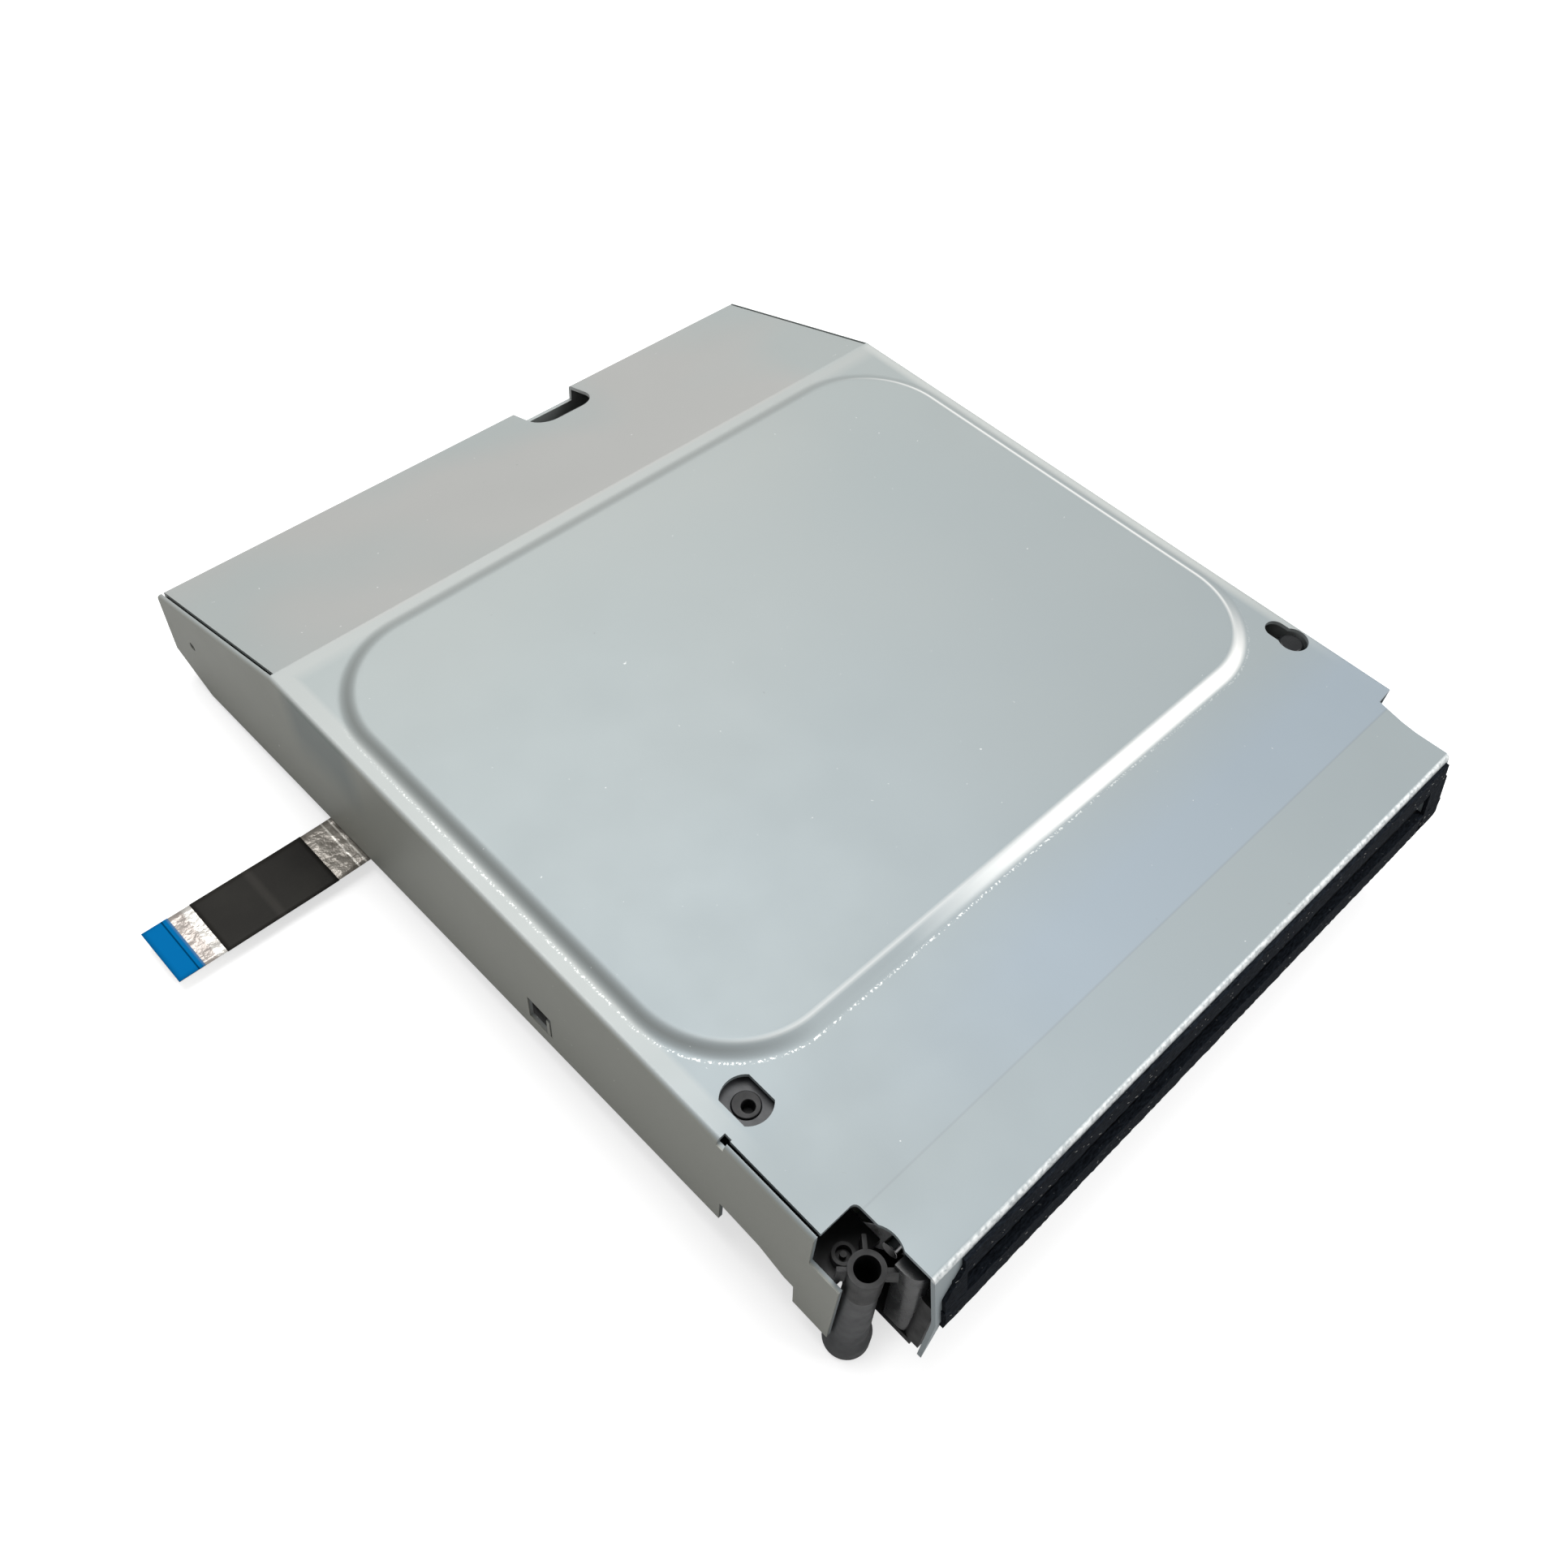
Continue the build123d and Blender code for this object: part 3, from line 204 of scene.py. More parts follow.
def route_place(distance):
    """The point of the route at a distance from the socket, and its direction there."""
    for spot in range(1, len(route)):
        if reach[spot] >= distance or spot == len(route) - 1:
            step = route[spot] - route[spot - 1]
            share = (distance - reach[spot - 1]) / (reach[spot] - reach[spot - 1])
            return route[spot - 1] + step * share, step.normalized()


# %% Film strips
def add_piece(name, form, body, *replaced, smooth_angle=35):
    """Makes a bmesh an object that rides on a body and may stand for nodes."""
    mesh = bpy.data.meshes.new(name)
    form.to_mesh(mesh)
    form.free()
    mesh.shade_smooth()
    mesh.set_sharp_from_angle(angle=math.radians(smooth_angle))
    piece = bpy.data.objects.new(name, mesh)
    bpy.context.scene.collection.objects.link(piece)
    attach(piece, body)
    if replaced:
        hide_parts(*replaced)
    return piece


def film_strip(name, start, stop, width, thickness, lift, *replaced):
    """A strip of film along the route between two distances from the socket."""
    form = bmesh.new()
    along = form.verts.layers.float.new("along")
    across = form.verts.layers.float.new("across")
    lanes = 12
    steps = max(2, round((stop - start) / (1.0 * mm)))
    row = []
    for lane in range(lanes + 1):
        row.append(form.verts.new((0, (lane / lanes - 0.5) * width, 0)))
    for left, right in zip(row, row[1:]):
        form.edges.new((left, right))
    for step in range(steps + 1):
        distance = start + (stop - start) * step / steps
        place, direction = route_place(distance)
        up = direction.cross(Vector((0, 1, 0))).normalized()
        if up.z < 0:
            up = -up
        if step:
            row_edges = [e for e in form.edges if e.verts[0] in row and e.verts[1] in row]
            made = bmesh.ops.extrude_edge_only(form, edges=row_edges)
            row = sorted((v for v in made["geom"] if isinstance(v, bmesh.types.BMVert)), key=lambda v: v.co.y)
        for lane, vertex in enumerate(row):
            side = (lane / lanes - 0.5) * width
            vertex.co = place + up * lift + Vector((0, side, 0))
            vertex[along] = distance
            vertex[across] = side
    bmesh.ops.recalc_face_normals(form, faces=form.faces)
    if sum(f.normal.z for f in form.faces) < 0:
        bmesh.ops.reverse_faces(form, faces=form.faces)
    piece = add_piece(name, form, "case", *replaced)
    wall = piece.modifiers.new("thickness", "SOLIDIFY")
    wall.thickness = thickness
    wall.offset = 0
    return piece


film_thickness = 0.12 * mm
tape_start = 48.5 * mm
tape_stop = 71.0 * mm
tab_start = ribbon_length - 5.0 * mm
ribbon = film_strip("ribbon_film", 0, ribbon_length, ribbon_width, film_thickness, 0, "ribbon")
tape = film_strip("ribbon_tape", tape_start, tape_stop, ribbon_width + 0.1 * mm, 0.24 * mm, 0)
tab = film_strip("ribbon_tab", tab_start, ribbon_length, ribbon_width, 0.16 * mm, 0.12 * mm, "ribbon_end")

# %% [markdown]
# ## Finishes
#
# Each finish is a small set of shader nodes that read the piece's own coordinates, so the pattern
# stays on the piece when it moves. A slow noise shifts the colour, a fine one shifts the
# roughness, and the finest gives the grain as bump.

# %% A finish
def new_finish(name, colour, roughness, metallic=0.0):
    """A material with its shader set; returns the material, its tree and its shader."""
    made = bpy.data.materials.new(name)
    made.use_nodes = True
    shader = made.node_tree.nodes["Principled BSDF"]
    shader.inputs["Base Color"].default_value = (*colour, 1)
    shader.inputs["Roughness"].default_value = roughness
    shader.inputs["Metallic"].default_value = metallic
    return made, made.node_tree, shader


def own_coordinates(tree, stretch=(1, 1, 1)):
    """The piece's own coordinates, stretched."""
    place = add_node(tree, "ShaderNodeTexCoord")
    mapping = add_node(tree, "ShaderNodeMapping")
    mapping.inputs["Scale"].default_value = stretch
    tree.links.new(place.outputs["Object"], mapping.inputs["Vector"])
    return mapping.outputs[0]


def noise_at(tree, where, scale, detail=3.0):
    """Noise with a number of grains per metre."""
    noise = add_node(tree, "ShaderNodeTexNoise", Scale=scale, Detail=detail)
    tree.links.new(where, noise.inputs["Vector"])
    return noise.outputs["Fac"]


def ranged(tree, value, low, high, start=0.3, stop=0.7):
    """Maps a noise to a range."""
    node = add_node(tree, "ShaderNodeMapRange")
    node.inputs["From Min"].default_value = start
    node.inputs["From Max"].default_value = stop
    node.inputs["To Min"].default_value = low
    node.inputs["To Max"].default_value = high
    tree.links.new(value, node.inputs["Value"])
    return node.outputs[0]


def mixed(tree, share, first, second):
    """A colour between two, each a colour or a socket."""
    node = add_node(tree, "ShaderNodeMix", data_type="RGBA")
    tree.links.new(share, node.inputs["Factor"])
    for socket, value in ((node.inputs[6], first), (node.inputs[7], second)):
        if isinstance(value, tuple):
            socket.default_value = (*value, 1)
        else:
            tree.links.new(value, socket)
    return node.outputs[2]


def bump_from(tree, height, depth, before=None):
    """A bump of a depth in metres."""
    node = add_node(tree, "ShaderNodeBump", Distance=depth)
    tree.links.new(height, node.inputs["Height"])
    if before:
        tree.links.new(before, node.inputs["Normal"])
    return node.outputs[0]


def plain_finish(name, colour, roughness, metallic=0.0, grain=4000, depth=0.02 * mm, spread=0.12, shine=0.5):
    """A finish with slow colour drift, uneven gloss and fine grain."""
    made, tree, shader = new_finish(name, colour, roughness, metallic)
    shader.inputs["Specular IOR Level"].default_value = shine
    where = own_coordinates(tree)
    drift = ranged(tree, noise_at(tree, where, grain / 60), 0, 1)
    dark = tuple(c * (1 - spread) for c in colour)
    light = tuple(min(1, c * (1 + spread)) for c in colour)
    tree.links.new(mixed(tree, drift, dark, light), shader.inputs["Base Color"])
    gloss = ranged(tree, noise_at(tree, where, grain / 12), max(0.03, roughness - 0.08), min(1, roughness + 0.08))
    tree.links.new(gloss, shader.inputs["Roughness"])
    tree.links.new(bump_from(tree, noise_at(tree, where, grain), depth), shader.inputs["Normal"])
    return made


# %% Finish of the cover
def along_axis(tree, axis):
    """One of the piece's own coordinates, in metres."""
    place = add_node(tree, "ShaderNodeTexCoord")
    split = add_node(tree, "ShaderNodeSeparateXYZ")
    tree.links.new(place.outputs["Object"], split.inputs[0])
    return split.outputs[axis]


def window(tree, value, low, high, soft):
    """One between two values and none outside, with soft ends."""
    rise = ranged(tree, value, 0, 1, low - soft, low)
    fall = ranged(tree, value, 1, 0, high, high + soft)
    return times(tree, rise, fall)


def times(tree, first, second):
    """Two values, or a value and a number, multiplied."""
    node = add_node(tree, "ShaderNodeMath", operation="MULTIPLY")
    tree.links.new(first, node.inputs[0])
    if isinstance(second, float):
        node.inputs[1].default_value = second
    else:
        tree.links.new(second, node.inputs[1])
    return node.outputs[0]


def larger(tree, first, second):
    """The larger of two values."""
    node = add_node(tree, "ShaderNodeMath", operation="MAXIMUM")
    tree.links.new(first, node.inputs[0])
    tree.links.new(second, node.inputs[1])
    return node.outputs[0]


def own_layer(tree, name):
    """A value stored on the piece's corners."""
    return add_node(tree, "ShaderNodeAttribute", attribute_name=name).outputs["Fac"]


panel_rear = 52.45 * mm
rear_fold_y = 54.45 * mm
front_fold_y = -94.05 * mm
crease_y = -80.6 * mm
sheet_top = 34.5 * mm
wall_x = 75.0 * mm


def cover_finish():
    """Galvanised sheet in grey with a crease, whose colour carries painted light: painted shade and a bluish painted
    reflection towards the front, painted shade along the crease and on the left wall, and a painted highlight along the
    front fold.
    """
    made, tree, shader = new_finish("cover_steel", (0.31, 0.35, 0.35), 0.5, 0.25)
    where = own_coordinates(tree)
    x = along_axis(tree, 0)
    y = along_axis(tree, 1)
    z = along_axis(tree, 2)
    # The sheet is painted darker and bluer at the front than at the rear, blended along y. This is painted shade and a
    # bluish painted reflection over a slow random drift.
    drift = ranged(tree, noise_at(tree, where, 14, 1.0), 0, 1, 0.35, 0.65)
    rear = mixed(tree, drift, (0.318, 0.352, 0.350), (0.336, 0.362, 0.356))
    front = mixed(tree, drift, (0.270, 0.311, 0.329), (0.280, 0.317, 0.327))
    colour = mixed(tree, ranged(tree, y, 0, 1, -62 * mm, 42 * mm), front, rear)
    # Painted light: the strips along the left, right and rear edges are painted lighter, the right one most, and more
    # so towards the rear.
    border = ranged(tree, x, 1, 0, -71.6 * mm, -70.6 * mm)
    right_border = ranged(tree, x, 0, 1, 71.8 * mm, 73.4 * mm)
    for edge in (right_border, ranged(tree, y, 0, 1, 49.6 * mm, 52.2 * mm)):
        border = larger(tree, border, edge)
    back = ranged(tree, y, 0.1, 0.9, -70 * mm, -30 * mm)
    colour = mixed(tree, times(tree, border, back), colour, (0.385, 0.405, 0.395))
    colour = mixed(tree, times(tree, right_border, back), colour, (0.45, 0.47, 0.455))
    # Painted light: the sloped rear strip takes its own lighter tone for the way light falls on that face, with a slow
    # drift.
    slope = window(tree, y, rear_fold_y, 1.0, 1.0 * mm)
    rear_drift = ranged(tree, noise_at(tree, where, 22, 1.0), 0, 1, 0.4, 0.6)
    colour = mixed(tree, slope, colour, mixed(tree, rear_drift, (0.365, 0.395, 0.388), (0.395, 0.398, 0.385)))
    # Painted reflection: a bluish band just behind the crease, stronger towards the right.
    bluish = window(tree, y, crease_y, -70 * mm, 12 * mm)
    behind = times(tree, ranged(tree, y, 0, 0.85, crease_y - 0.1 * mm, crease_y),
                   ranged(tree, x, 0.35, 1, -65 * mm, -15 * mm))
    colour = mixed(tree, times(tree, bluish, behind), colour, (0.272, 0.322, 0.366))
    # Painted shade: the strip behind the crease is painted darker towards the left.
    near_left = times(tree, window(tree, y, crease_y, -66 * mm, 8 * mm), ranged(tree, x, 0.85, 0, -62 * mm, -20 * mm))
    colour = mixed(tree, near_left, colour, (0.258, 0.293, 0.302))
    # Painted shade: a faint dark line along the crease.
    crease = window(tree, y, crease_y - 0.1 * mm, crease_y + 0.1 * mm, 0.15 * mm)
    colour = mixed(tree, times(tree, crease, 0.3), colour, (0.20, 0.22, 0.23))
    # Painted shade: the left wall is painted darker and warmer than the top.
    wall = ranged(tree, x, 1, 0, -wall_x + 0.1 * mm, -wall_x + 0.5 * mm)
    colour = mixed(tree, wall, colour, (0.27, 0.275, 0.245))
    reflected = times(tree, window(tree, y, 33 * mm, 47 * mm, 5 * mm), ranged(tree, z, 0, 0.6, 17 * mm, 27 * mm))
    colour = mixed(tree, times(tree, reflected, wall), colour, (0.13, 0.165, 0.165))
    # Painted highlight: the front fold is painted near white, broken up by noise.
    fold = times(tree, ranged(tree, y, 1, 0, front_fold_y + 0.3 * mm, front_fold_y + 0.7 * mm),
                 ranged(tree, z, 0, 1, sheet_top - 1.2 * mm, sheet_top - 0.9 * mm))
    glint_breakup = ranged(tree, noise_at(tree, where, 1400, 4.0), 0.25, 0.75, 0.35, 0.6)
    colour = mixed(tree, times(tree, fold, glint_breakup), colour, (0.95, 0.97, 0.96))
    foot = own_layer(tree, "foot")
    flecks = ranged(tree, noise_at(tree, where, 2600, 2.0), 0, 1, 0.53, 0.6)
    colour = mixed(tree, times(tree, foot, flecks), colour, (0.95, 0.96, 0.93))
    # Painted highlight and painted shade on the pressed step, read from its lit and dim layers.
    colour = mixed(tree, own_layer(tree, "lit"), colour, (0.95, 0.94, 0.91))
    colour = mixed(tree, own_layer(tree, "dim"), colour, (0.13, 0.133, 0.12))
    dust = ranged(tree, noise_at(tree, where, 900, 5.0), 0, 1, 0.74, 0.78)
    colour = mixed(tree, times(tree, dust, 0.7), colour, (0.75, 0.76, 0.75))
    dirt = ranged(tree, noise_at(tree, where, 700, 6.0), 0, 1, 0.75, 0.79)
    colour = mixed(tree, times(tree, dirt, 0.6), colour, (0.22, 0.23, 0.23))
    tree.links.new(colour, shader.inputs["Base Color"])
    gloss = ranged(tree, noise_at(tree, where, 60), 0.47, 0.53)
    tree.links.new(gloss, shader.inputs["Roughness"])
    grain = bump_from(tree, noise_at(tree, where, 2500), 0.006 * mm)
    tree.links.new(grain, shader.inputs["Normal"])
    return made


# %% Finishes of the felt and the ribbon
def felt_finish():
    """Blue-black felt with fibres drawn out along the slot and light lint."""
    made, tree, shader = new_finish("felt", (0.006, 0.008, 0.012), 0.95)
    shader.inputs["Specular IOR Level"].default_value = 0.08
    where = own_coordinates(tree, (0.35, 1, 1))
    fibre = noise_at(tree, where, 3200, 5.0)
    colour = mixed(tree, ranged(tree, fibre, 0, 1), (0.003, 0.004, 0.006), (0.013, 0.017, 0.023))
    lint = ranged(tree, noise_at(tree, own_coordinates(tree), 1500, 3.0), 0, 1, 0.68, 0.74)
    colour = mixed(tree, lint, colour, (0.08, 0.085, 0.085))
    tree.links.new(colour, shader.inputs["Base Color"])
    tree.links.new(bump_from(tree, fibre, 0.4 * mm), shader.inputs["Normal"])
    return made


def film_finish():
    """Pinkish silver film, crumpled near the wall and glued white before the tab."""
    made, tree, shader = new_finish("ribbon_film", (0.40, 0.36, 0.32), 0.28, 0.35)
    where = own_coordinates(tree)
    along = own_layer(tree, "along")
    crumple = noise_at(tree, where, 380, 3.0)
    colour = mixed(tree, ranged(tree, crumple, 0, 1), (0.20, 0.18, 0.155), (0.40, 0.37, 0.33))
    for crease_at in (42.6 * mm, 44.1 * mm):
        line = window(tree, along, crease_at - 0.1 * mm, crease_at + 0.1 * mm, 0.12 * mm)
        colour = mixed(tree, line, colour, (0.75, 0.72, 0.66))
    glue = window(tree, along, 70.8 * mm, 72.6 * mm, 0.5 * mm)
    colour = mixed(tree, times(tree, glue, ranged(tree, crumple, 0.5, 1)), colour, (0.72, 0.70, 0.66))
    end = window(tree, along, 73.0 * mm, 75.0 * mm, 0.4 * mm)
    colour = mixed(tree, times(tree, end, 0.7), colour, (0.44, 0.39, 0.36))
    tree.links.new(colour, shader.inputs["Base Color"])
    tree.links.new(bump_from(tree, crumple, 0.5 * mm), shader.inputs["Normal"])
    return made


def tape_finish():
    """Black cloth tape with a soft crease across its middle."""
    made, tree, shader = new_finish("ribbon_tape", (0.014, 0.013, 0.011), 0.6)
    shader.inputs["Specular IOR Level"].default_value = 0.15
    along = own_layer(tree, "along")
    crease = window(tree, along, 59.6 * mm, 60.2 * mm, 0.8 * mm)
    worn = ranged(tree, noise_at(tree, own_coordinates(tree), 90), 0, 1)
    colour = mixed(tree, worn, (0.012, 0.011, 0.0095), (0.019, 0.018, 0.015))
    tree.links.new(mixed(tree, times(tree, crease, 0.6), colour, (0.035, 0.032, 0.028)), shader.inputs["Base Color"])
    weave = noise_at(tree, own_coordinates(tree), 3000)
    tree.links.new(bump_from(tree, weave, 0.02 * mm), shader.inputs["Normal"])
    return made


def tab_finish():
    """The blue stiffener, with a thin dark line beside its inner edge."""
    made, tree, shader = new_finish("stiffener_blue", (0.002, 0.128, 0.342), 0.45)
    shader.inputs["Specular IOR Level"].default_value = 0.0
    along = own_layer(tree, "along")
    line_at = tab_start + 1.2 * mm
    line = window(tree, along, line_at - 0.08 * mm, line_at + 0.08 * mm, 0.12 * mm)
    colour = mixed(tree, line, (0.002, 0.128, 0.342), (0.0, 0.04, 0.11))
    pale = ranged(tree, along, 0.5, 0, tab_start, tab_start + 0.5 * mm)
    tree.links.new(mixed(tree, pale, colour, (0.2, 0.26, 0.34)), shader.inputs["Base Color"])
    return made


# %% All finishes
finishes = {
    "cover_steel": cover_finish(),
    "cut_edge": plain_finish("cut_edge", (0.66, 0.66, 0.62), 0.4, 0.3, 2500, 0.01 * mm, 0.03),
    "felt": felt_finish(),
    "lint": plain_finish("lint", (0.30, 0.30, 0.28), 0.8, 0, 3000, 0.01 * mm),
    "black_plastic": plain_finish("black_plastic", (0.009, 0.009, 0.0095), 0.48, 0, 5000, 0.01 * mm, 0.12, 0.3),
    "grey_plastic": plain_finish("grey_plastic", (0.034, 0.036, 0.039), 0.42, 0, 5000, 0.01 * mm, 0.12, 0.4),
    "glossy_black": plain_finish("glossy_black", (0.012, 0.013, 0.014), 0.24, 0, 5000, 0.004 * mm, 0.1, 0.4),
    "white_plastic": plain_finish("white_plastic", (0.72, 0.70, 0.64), 0.35, 0, 4000, 0.01 * mm),
    "bright_steel": plain_finish("bright_steel", (0.55, 0.56, 0.57), 0.32, 0.9, 3000, 0.01 * mm),
    "polished_steel": plain_finish("polished_steel", (0.66, 0.66, 0.67), 0.16, 1, 3000, 0.004 * mm),
    "roller_rubber": plain_finish("roller_rubber", (0.03, 0.03, 0.032), 0.7, 0, 3000, 0.03 * mm),
    "motor_can": plain_finish("motor_can", (0.52, 0.53, 0.55), 0.28, 1, 3000, 0.008 * mm),
    "brass": plain_finish("brass", (0.62, 0.43, 0.16), 0.25, 1, 3000, 0.006 * mm),
    "cast_alloy": plain_finish("cast_alloy", (0.42, 0.43, 0.44), 0.5, 0.8, 2500, 0.03 * mm),
    "board_green": plain_finish("board_green", (0.015, 0.11, 0.055), 0.3, 0, 3000, 0.01 * mm),
    "socket_plastic": plain_finish("socket_plastic", (0.66, 0.62, 0.5), 0.5, 0, 4000, 0.01 * mm),
    "chip_black": plain_finish("chip_black", (0.015, 0.015, 0.016), 0.5, 0, 6000, 0.01 * mm),
    "screw_steel": plain_finish("screw_steel", (0.45, 0.45, 0.46), 0.3, 1, 4000, 0.01 * mm),
    "ribbon_film": film_finish(),
    "ribbon_tape": tape_finish(),
    "stiffener_blue": tab_finish(),
    "lens_glass": plain_finish("lens_glass", (0.35, 0.45, 0.75), 0.05, 0.0, 3000, 0.0, 0.05),
    "magnet": plain_finish("magnet", (0.32, 0.32, 0.34), 0.25, 1, 3000, 0.01 * mm),
    "copper_core": plain_finish("copper_core", (0.6, 0.22, 0.09), 0.35, 0.9, 3000, 0.05 * mm),
}
print("finishes:", len(finishes))

# %% [markdown]
# ## Dressing the pieces
#
# A piece from the construction is loose triangles, and its edges are razor sharp. A merged copy
# with its flat faces joined takes a fine bevel and smooth shading, as the edges of real sheet and
# mouldings do, and stands for the piece.

# %% Merged copies
slot_of = {}
for part in frame["record"]["subparts"]:
    slot_of[part["node"]] = part["material_slot"] if "material_slot" in part else part.get("slot")
body_of_node = {}
for body, nodes in frame["record"]["behaviour"]["bodies"].items():
    for node in nodes:
        body_of_node[node] = body


def merged_form(node):
    """A bmesh of a node with its corners merged and its flat faces joined."""
    form = bmesh.new()
    form.from_mesh(bpy.data.objects[node].data)
    bmesh.ops.remove_doubles(form, verts=form.verts, dist=0.002 * mm)
    bmesh.ops.dissolve_limit(form, angle_limit=math.radians(0.5), verts=form.verts, edges=form.edges)
    return form


def dress(node, edge=0.15 * mm, form=None):
    """A smooth form for a node, by default its own, with a fine bevel and its finish."""
    piece = add_piece(node + "_skin", form or merged_form(node), body_of_node[node], node, smooth_angle=32)
    if edge:
        soft = piece.modifiers.new("edge", "BEVEL")
        soft.width = edge
        soft.segments = 2
        soft.limit_method = "ANGLE"
        soft.angle_limit = math.radians(40)
    flat = piece.modifiers.new("flat_faces", "WEIGHTED_NORMAL")
    flat.keep_sharp = True
    piece.data.materials.clear()
    piece.data.materials.append(finishes[slot_of[node]])
    return piece


# %% The cover's raised panel
panel_low = Vector((-72.4 * mm, -58.25 * mm))
panel_high = Vector((73.4 * mm, panel_rear))
panel_corner = 21.0 * mm
panel_rise = 1.3 * mm
slope_width = 3.6 * mm
slope_rings = 12


def panel_outward(point):
    """The outward direction of the panel's round-cornered border at a point."""
    x = min(max(point.x, panel_low.x + panel_corner), panel_high.x - panel_corner)
    y = min(max(point.y, panel_low.y + panel_corner), panel_high.y - panel_corner)
    return Vector((point.x - x, point.y - y)).normalized()


def between(value, low, high):
    """How far a value is from low to high, from none to one."""
    return min(max((value - low) / (high - low), 0), 1)


def slope_light(place, out, share):
    """How much the foot of the pressed step is flecked, and how much painted highlight (lit) and painted shade (dim)
    its colour takes, by the way it faces and its height.
    """
    front = max(0, -out.y) ** 3
    left = max(0, -out.x)
    rear = max(0, out.y) ** 3
    right = max(0, out.x) ** 3
    along = between(place.x, -30 * mm, 10 * mm)
    band = max(0, 1 - abs(share - 0.52) / 0.45)
    crest = max(0, 1 - abs(share - 0.84) / 0.15)
    foot = front * (1 - 0.7 * between(place.x, -10 * mm, 30 * mm)) + left * (1 - between(place.y, 5 * mm, 40 * mm))
    lit = front * (along * min(1, 1.5 * band) + (1 - along) * 0.35 * crest) + 0.8 * right * crest
    dim = band * (0.62 * left ** 1.3 * (1 - 0.3 * between(place.y, 20 * mm, 50 * mm)) + 0.16 * rear)
    return min(1, 0.9 * foot), min(1, lit), min(1, dim)


def cover_form():
    """The cover with its panel's plain slope redrawn as a smooth pressed step."""
    form = merged_form("top_cover")
    raised = [f for f in form.faces if f.calc_center_median().z > sheet_top + 0.05 * mm and f.normal.z > 0]
    bmesh.ops.delete(form, geom=raised, context="FACES")
    border = [e for e in form.edges if e.is_boundary]
    arcs = [e for e in border if e.calc_length() < panel_corner]
    bmesh.ops.subdivide_edges(form, edges=arcs, cuts=3)
    border = [e for e in form.edges if e.is_boundary]
    straights = [e for e in border if e.calc_length() > panel_corner]
    bmesh.ops.subdivide_edges(form, edges=straights, cuts=9)
    border = [e for e in form.edges if e.is_boundary]
    layers = {name: form.verts.layers.float.new(name) for name in ("foot", "lit", "dim")}
    for vertex in {v for e in border for v in e.verts}:
        out = panel_outward(vertex.co)
        x = min(max(vertex.co.x, panel_low.x + panel_corner), panel_high.x - panel_corner)
        y = min(max(vertex.co.y, panel_low.y + panel_corner), panel_high.y - panel_corner)
        vertex.co.x = x + out.x * panel_corner
        vertex.co.y = y + out.y * panel_corner
    step = slope_width / slope_rings
    for ring in range(1, slope_rings + 3):
        made = bmesh.ops.extrude_edge_only(form, edges=border)["geom"]
        border = [g for g in made if isinstance(g, bmesh.types.BMEdge)]
        share = min(max((ring - 1) / slope_rings, 0), 1)
        for vertex in {v for e in border for v in e.verts}:
            out = panel_outward(vertex.co)
            vertex.co.x -= out.x * step
            vertex.co.y -= out.y * step
            vertex.co.z = sheet_top + panel_rise * (0.5 - 0.5 * math.cos(math.pi * share))
            foot, lit, dim = slope_light(vertex.co, out, share)
            vertex[layers["foot"]] = foot if ring == 1 else 0.0
            vertex[layers["lit"]] = lit
            vertex[layers["dim"]] = dim
    bmesh.ops.edgeloop_fill(form, edges=border)
    bmesh.ops.recalc_face_normals(form, faces=form.faces)
    return form


# %% Turned and drawn forms of the front
def turned_form(profile, steps, x, y):
    """A closed form turned about an upright axis, from its radii and heights."""
    form = bmesh.new()
    ring = [form.verts.new((x + radius * mm, y, height * mm)) for radius, height in profile]
    edges = [form.edges.new(pair) for pair in zip(ring, ring[1:] + ring[:1])]
    bmesh.ops.spin(form, geom=ring + edges, cent=(x, y, 0), axis=(0, 0, 1), angle=2 * math.pi, steps=steps)
    bmesh.ops.remove_doubles(form, verts=form.verts, dist=0.002 * mm)
    bmesh.ops.recalc_face_normals(form, faces=form.faces)
    return form


post_x = -71.0 * mm
post_y = -86.05 * mm
post_profile = [(2.2, 23.5), (2.65, 23.5), (3.1, 6.2), (3.75, 3.9), (3.75, 0.9), (3.4, 0.25), (2.9, 0), (2.2, 0)]
flange_lean = 2.7 / 13.0
felt_thickness = 0.7 * mm
dice = random.Random(7)


def felt_form(section, left, right, rise=0.0):
    """A felt strip drawn along the flange; its edges wander as cut felt does, and its top may rise to the right."""
    form = bmesh.new()
    ring = [form.verts.new((left, y, z)) for y, z in section]
    form.faces.new(ring)
    steps = round((right - left) / (0.7 * mm))
    last = ring
    for step in range(steps):
        ring = [form.verts.new((left + (right - left) * (step + 1) / steps, y, z)) for y, z in section]
        for vertex in ring:
            vertex.co.y += dice.uniform(-0.05, 0.05) * mm
            vertex.co.z += dice.uniform(-0.07, 0.07) * mm
        climb = rise * (step + 1) / steps
        for vertex in (ring[0], ring[-1]):
            vertex.co.y += climb * flange_lean
            vertex.co.z += climb
        before = last
        for corner in range(len(ring)):
            after = (corner + 1) % len(ring)
            form.faces.new((before[corner], before[after], ring[after], ring[corner]))
        last = ring
    form.faces.new(last)
    bmesh.ops.recalc_face_normals(form, faces=form.faces)
    return form


def flange_y(depth):
    """Where the flange's front face is at a depth under the top sheet."""
    return front_fold_y - min(depth, 13.0 * mm) * flange_lean


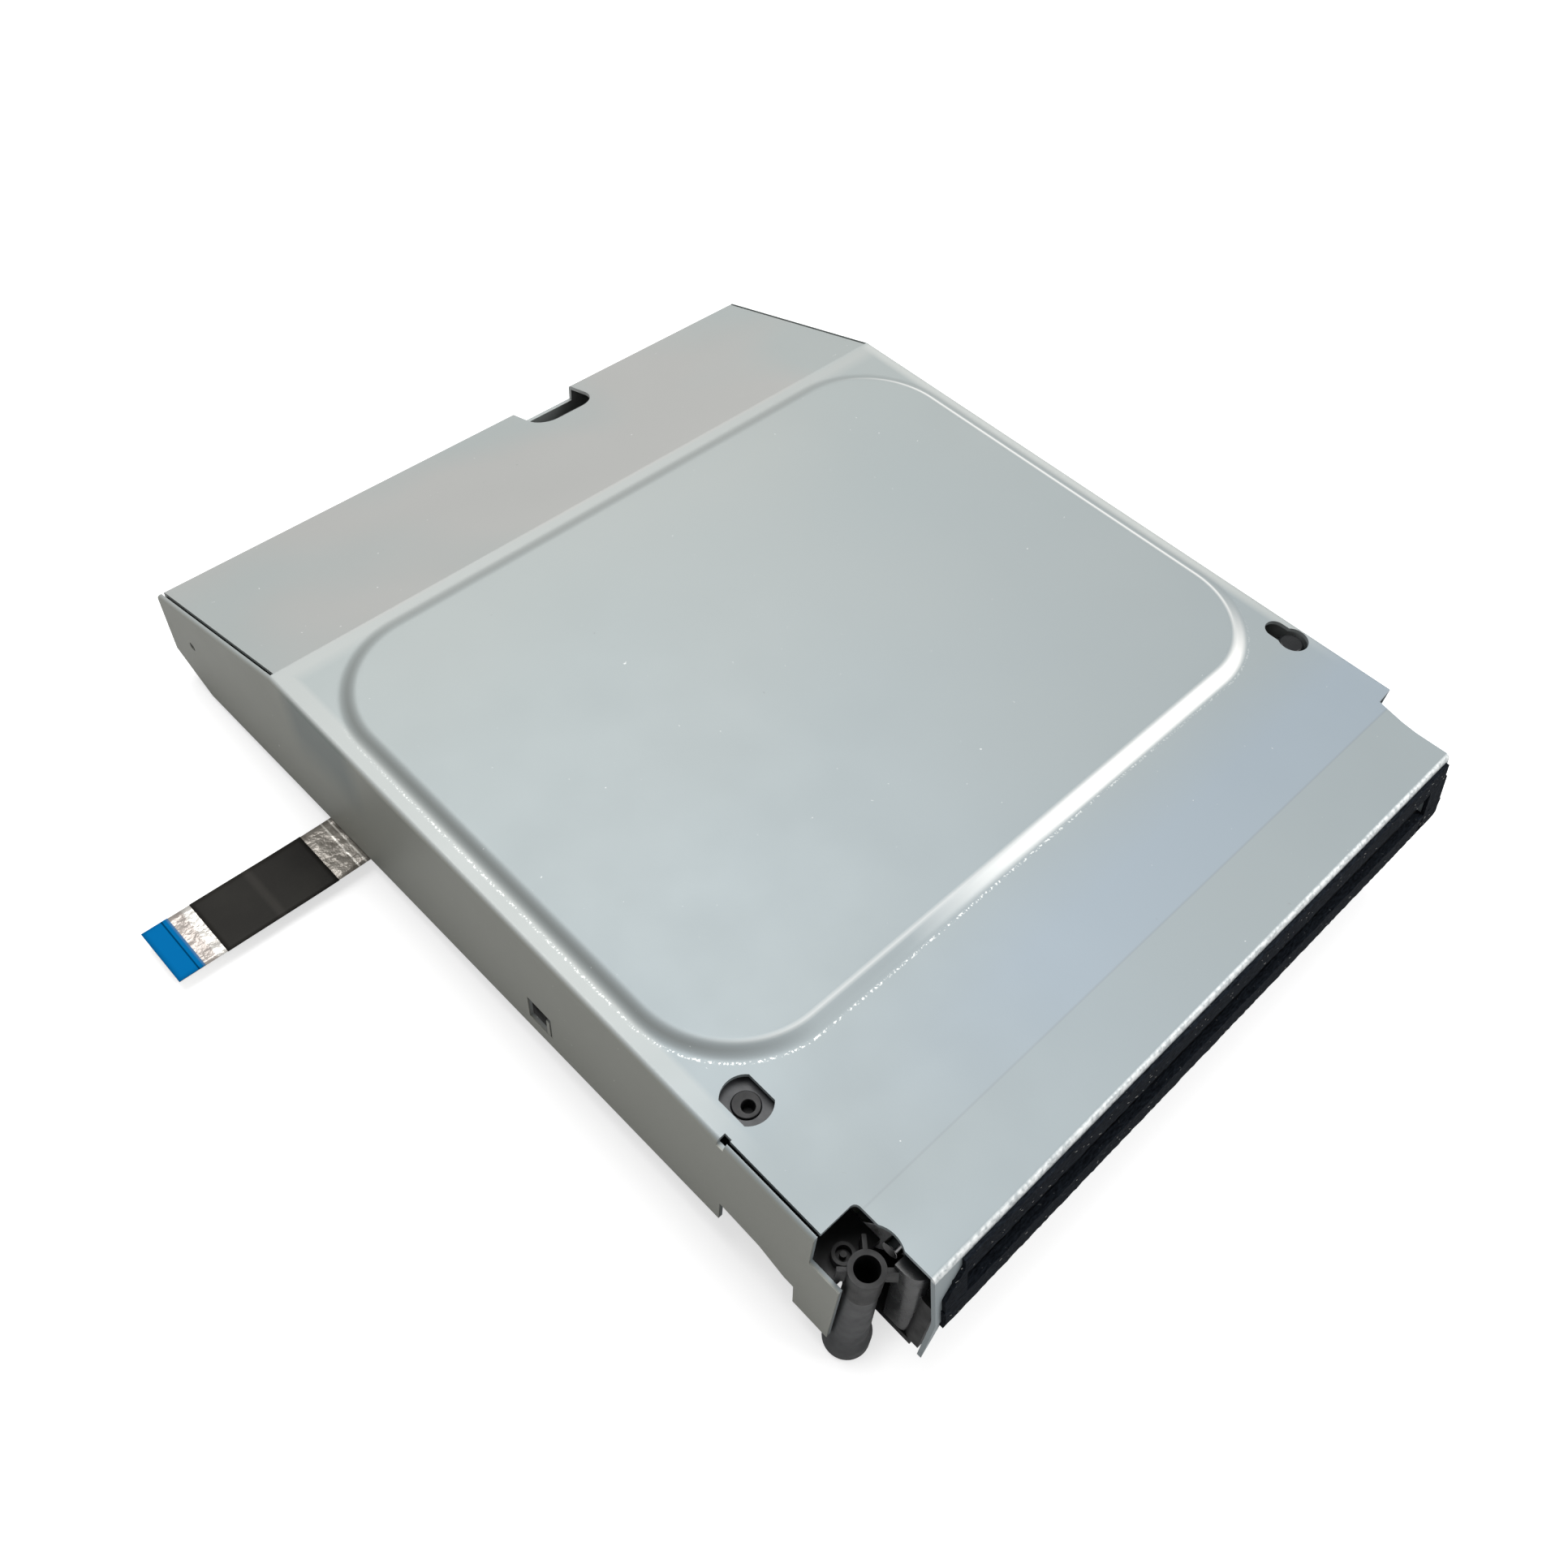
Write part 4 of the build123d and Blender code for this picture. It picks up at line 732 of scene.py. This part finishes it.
def strip_section(top, bottom, lip, way):
    """The section of a felt strip that wraps one lip of the slot, upward or downward."""
    past = lip + way * 0.3 * mm
    ends = sorted((past, bottom if way < 0 else top))
    high, low = ends[0], ends[1]
    inside = flange_y(lip) + 0.85 * mm
    outer = [(flange_y(high) - felt_thickness, sheet_top - high), (flange_y(low) - felt_thickness, sheet_top - low)]
    if way > 0:
        inner = [(inside, sheet_top - low), (inside, sheet_top - lip - 0.02 * mm),
                 (flange_y(lip) - 0.02 * mm, sheet_top - lip - 0.02 * mm), (flange_y(high) - 0.02 * mm, sheet_top - high)]
    else:
        inner = [(flange_y(low) - 0.02 * mm, sheet_top - low), (flange_y(lip) - 0.02 * mm, sheet_top - lip + 0.02 * mm),
                 (inside, sheet_top - lip + 0.02 * mm), (inside, sheet_top - high)]
    return outer + inner


def end_section(top, bottom):
    """The section of a felt piece that covers the flange beside the slot."""
    depths = (top, 13.0 * mm, bottom)
    outer = [(flange_y(depth) - felt_thickness, sheet_top - depth) for depth in depths]
    inner = [(flange_y(depth) - 0.02 * mm, sheet_top - depth) for depth in reversed(depths)]
    return outer + inner


def column_form():
    """The moulded column at the slot's left end: a rounded corner that narrows towards its foot."""
    form = bmesh.new()
    levels = []
    for height, left, front, radius in ((7.0, -66.3, -93.4, 2.2), (31.5, -68.2, -93.0, 2.9)):
        ring = []
        for step in range(13):
            angle = math.pi + math.pi / 2 * step / 12
            ring.append((left + radius + radius * math.cos(angle), front + radius + radius * math.sin(angle)))
        ring += [(-63.9, front), (-63.9, -88.4), (left, -88.4)]
        levels.append([form.verts.new((x * mm, y * mm, height * mm)) for x, y in ring])
    low, high = levels
    for corner in range(len(low)):
        after = (corner + 1) % len(low)
        form.faces.new((low[corner], low[after], high[after], high[corner]))
    form.faces.new(low)
    form.faces.new(high)
    bmesh.ops.recalc_face_normals(form, faces=form.faces)
    return form


def lint_form(count):
    """Short light fibres caught on the face of the felt."""
    form = bmesh.new()
    for fibre in range(count):
        depth = dice.choice((dice.uniform(1.8, 4.4), dice.uniform(10.8, 14.2))) * mm
        place = Vector((dice.uniform(-65, 68.5) * mm, flange_y(depth) - felt_thickness - 0.02 * mm, sheet_top - depth))
        tilt = Matrix.Rotation(dice.uniform(-0.6, 0.6), 4, "Y") @ Matrix.Rotation(dice.uniform(-0.3, 0.3), 4, "Z")
        size = Matrix.Diagonal((dice.uniform(0.15, 0.6) * mm, 0.045 * mm, 0.045 * mm, 1))
        bmesh.ops.create_cube(form, size=1, matrix=Matrix.Translation(place) @ tilt @ size)
    return form


def shelf_form():
    """The corner shelf with the bore of its ring drawn in to the screw's size."""
    form = merged_form("corner_shelf")
    for vertex in form.verts:
        reach = Vector((vertex.co.x - post_x, vertex.co.y - post_y))
        if abs(reach.length - 2.25 * mm) < 0.05 * mm:
            near = reach.normalized() * 1.95 * mm
            vertex.co.x = post_x + near.x
            vertex.co.y = post_y + near.y
    return form


done = {"ribbon", "ribbon_end", "top_cover", "post_front_left", "upper_felt", "lower_felt", "corner_shelf"}
dress("corner_shelf", 0.1 * mm, shelf_form())
slot_of["guide_pin"] = "glossy_black"
cover = dress("top_cover", 0.16 * mm, cover_form())
cover.data.materials.append(finishes["cut_edge"])
cover.modifiers["edge"].material = 1
post = dress("post_front_left", 0, turned_form(post_profile, 40, post_x, post_y))
upper_felt = dress("upper_felt", 0, felt_form(strip_section(1.2 * mm, 0, 4.6 * mm, 1), -61.4 * mm, 68.2 * mm))
lower_felt = dress("lower_felt", 0, felt_form(strip_section(0, 14.6 * mm, 10.3 * mm, -1), -65.8 * mm, 69.2 * mm))
for name, top, left, right, rise in (("left", 7.2, -65.6, -61.0, 4.6), ("right", 4.2, 63.3, 68.8, 0.0)):
    section = end_section(top * mm, 14.4 * mm)
    felt_end = add_piece("felt_" + name, felt_form(section, left * mm, right * mm, rise * mm), "case")
    felt_end.data.materials.append(finishes["felt"])
column = add_piece("slot_column", column_form(), "case")
column.data.materials.append(finishes["glossy_black"])
lint = add_piece("felt_lint", lint_form(110), "case", smooth_angle=10)
lint.data.materials.append(finishes["lint"])
for node in sorted(body_of_node):
    if node not in done:
        dress(node, 0.1 * mm)
for piece, finish in ((ribbon, "ribbon_film"), (tape, "ribbon_tape"), (tab, "stiffener_blue")):
    piece.data.materials.append(finishes[finish])
print("dressed:", len(body_of_node) - len(done))
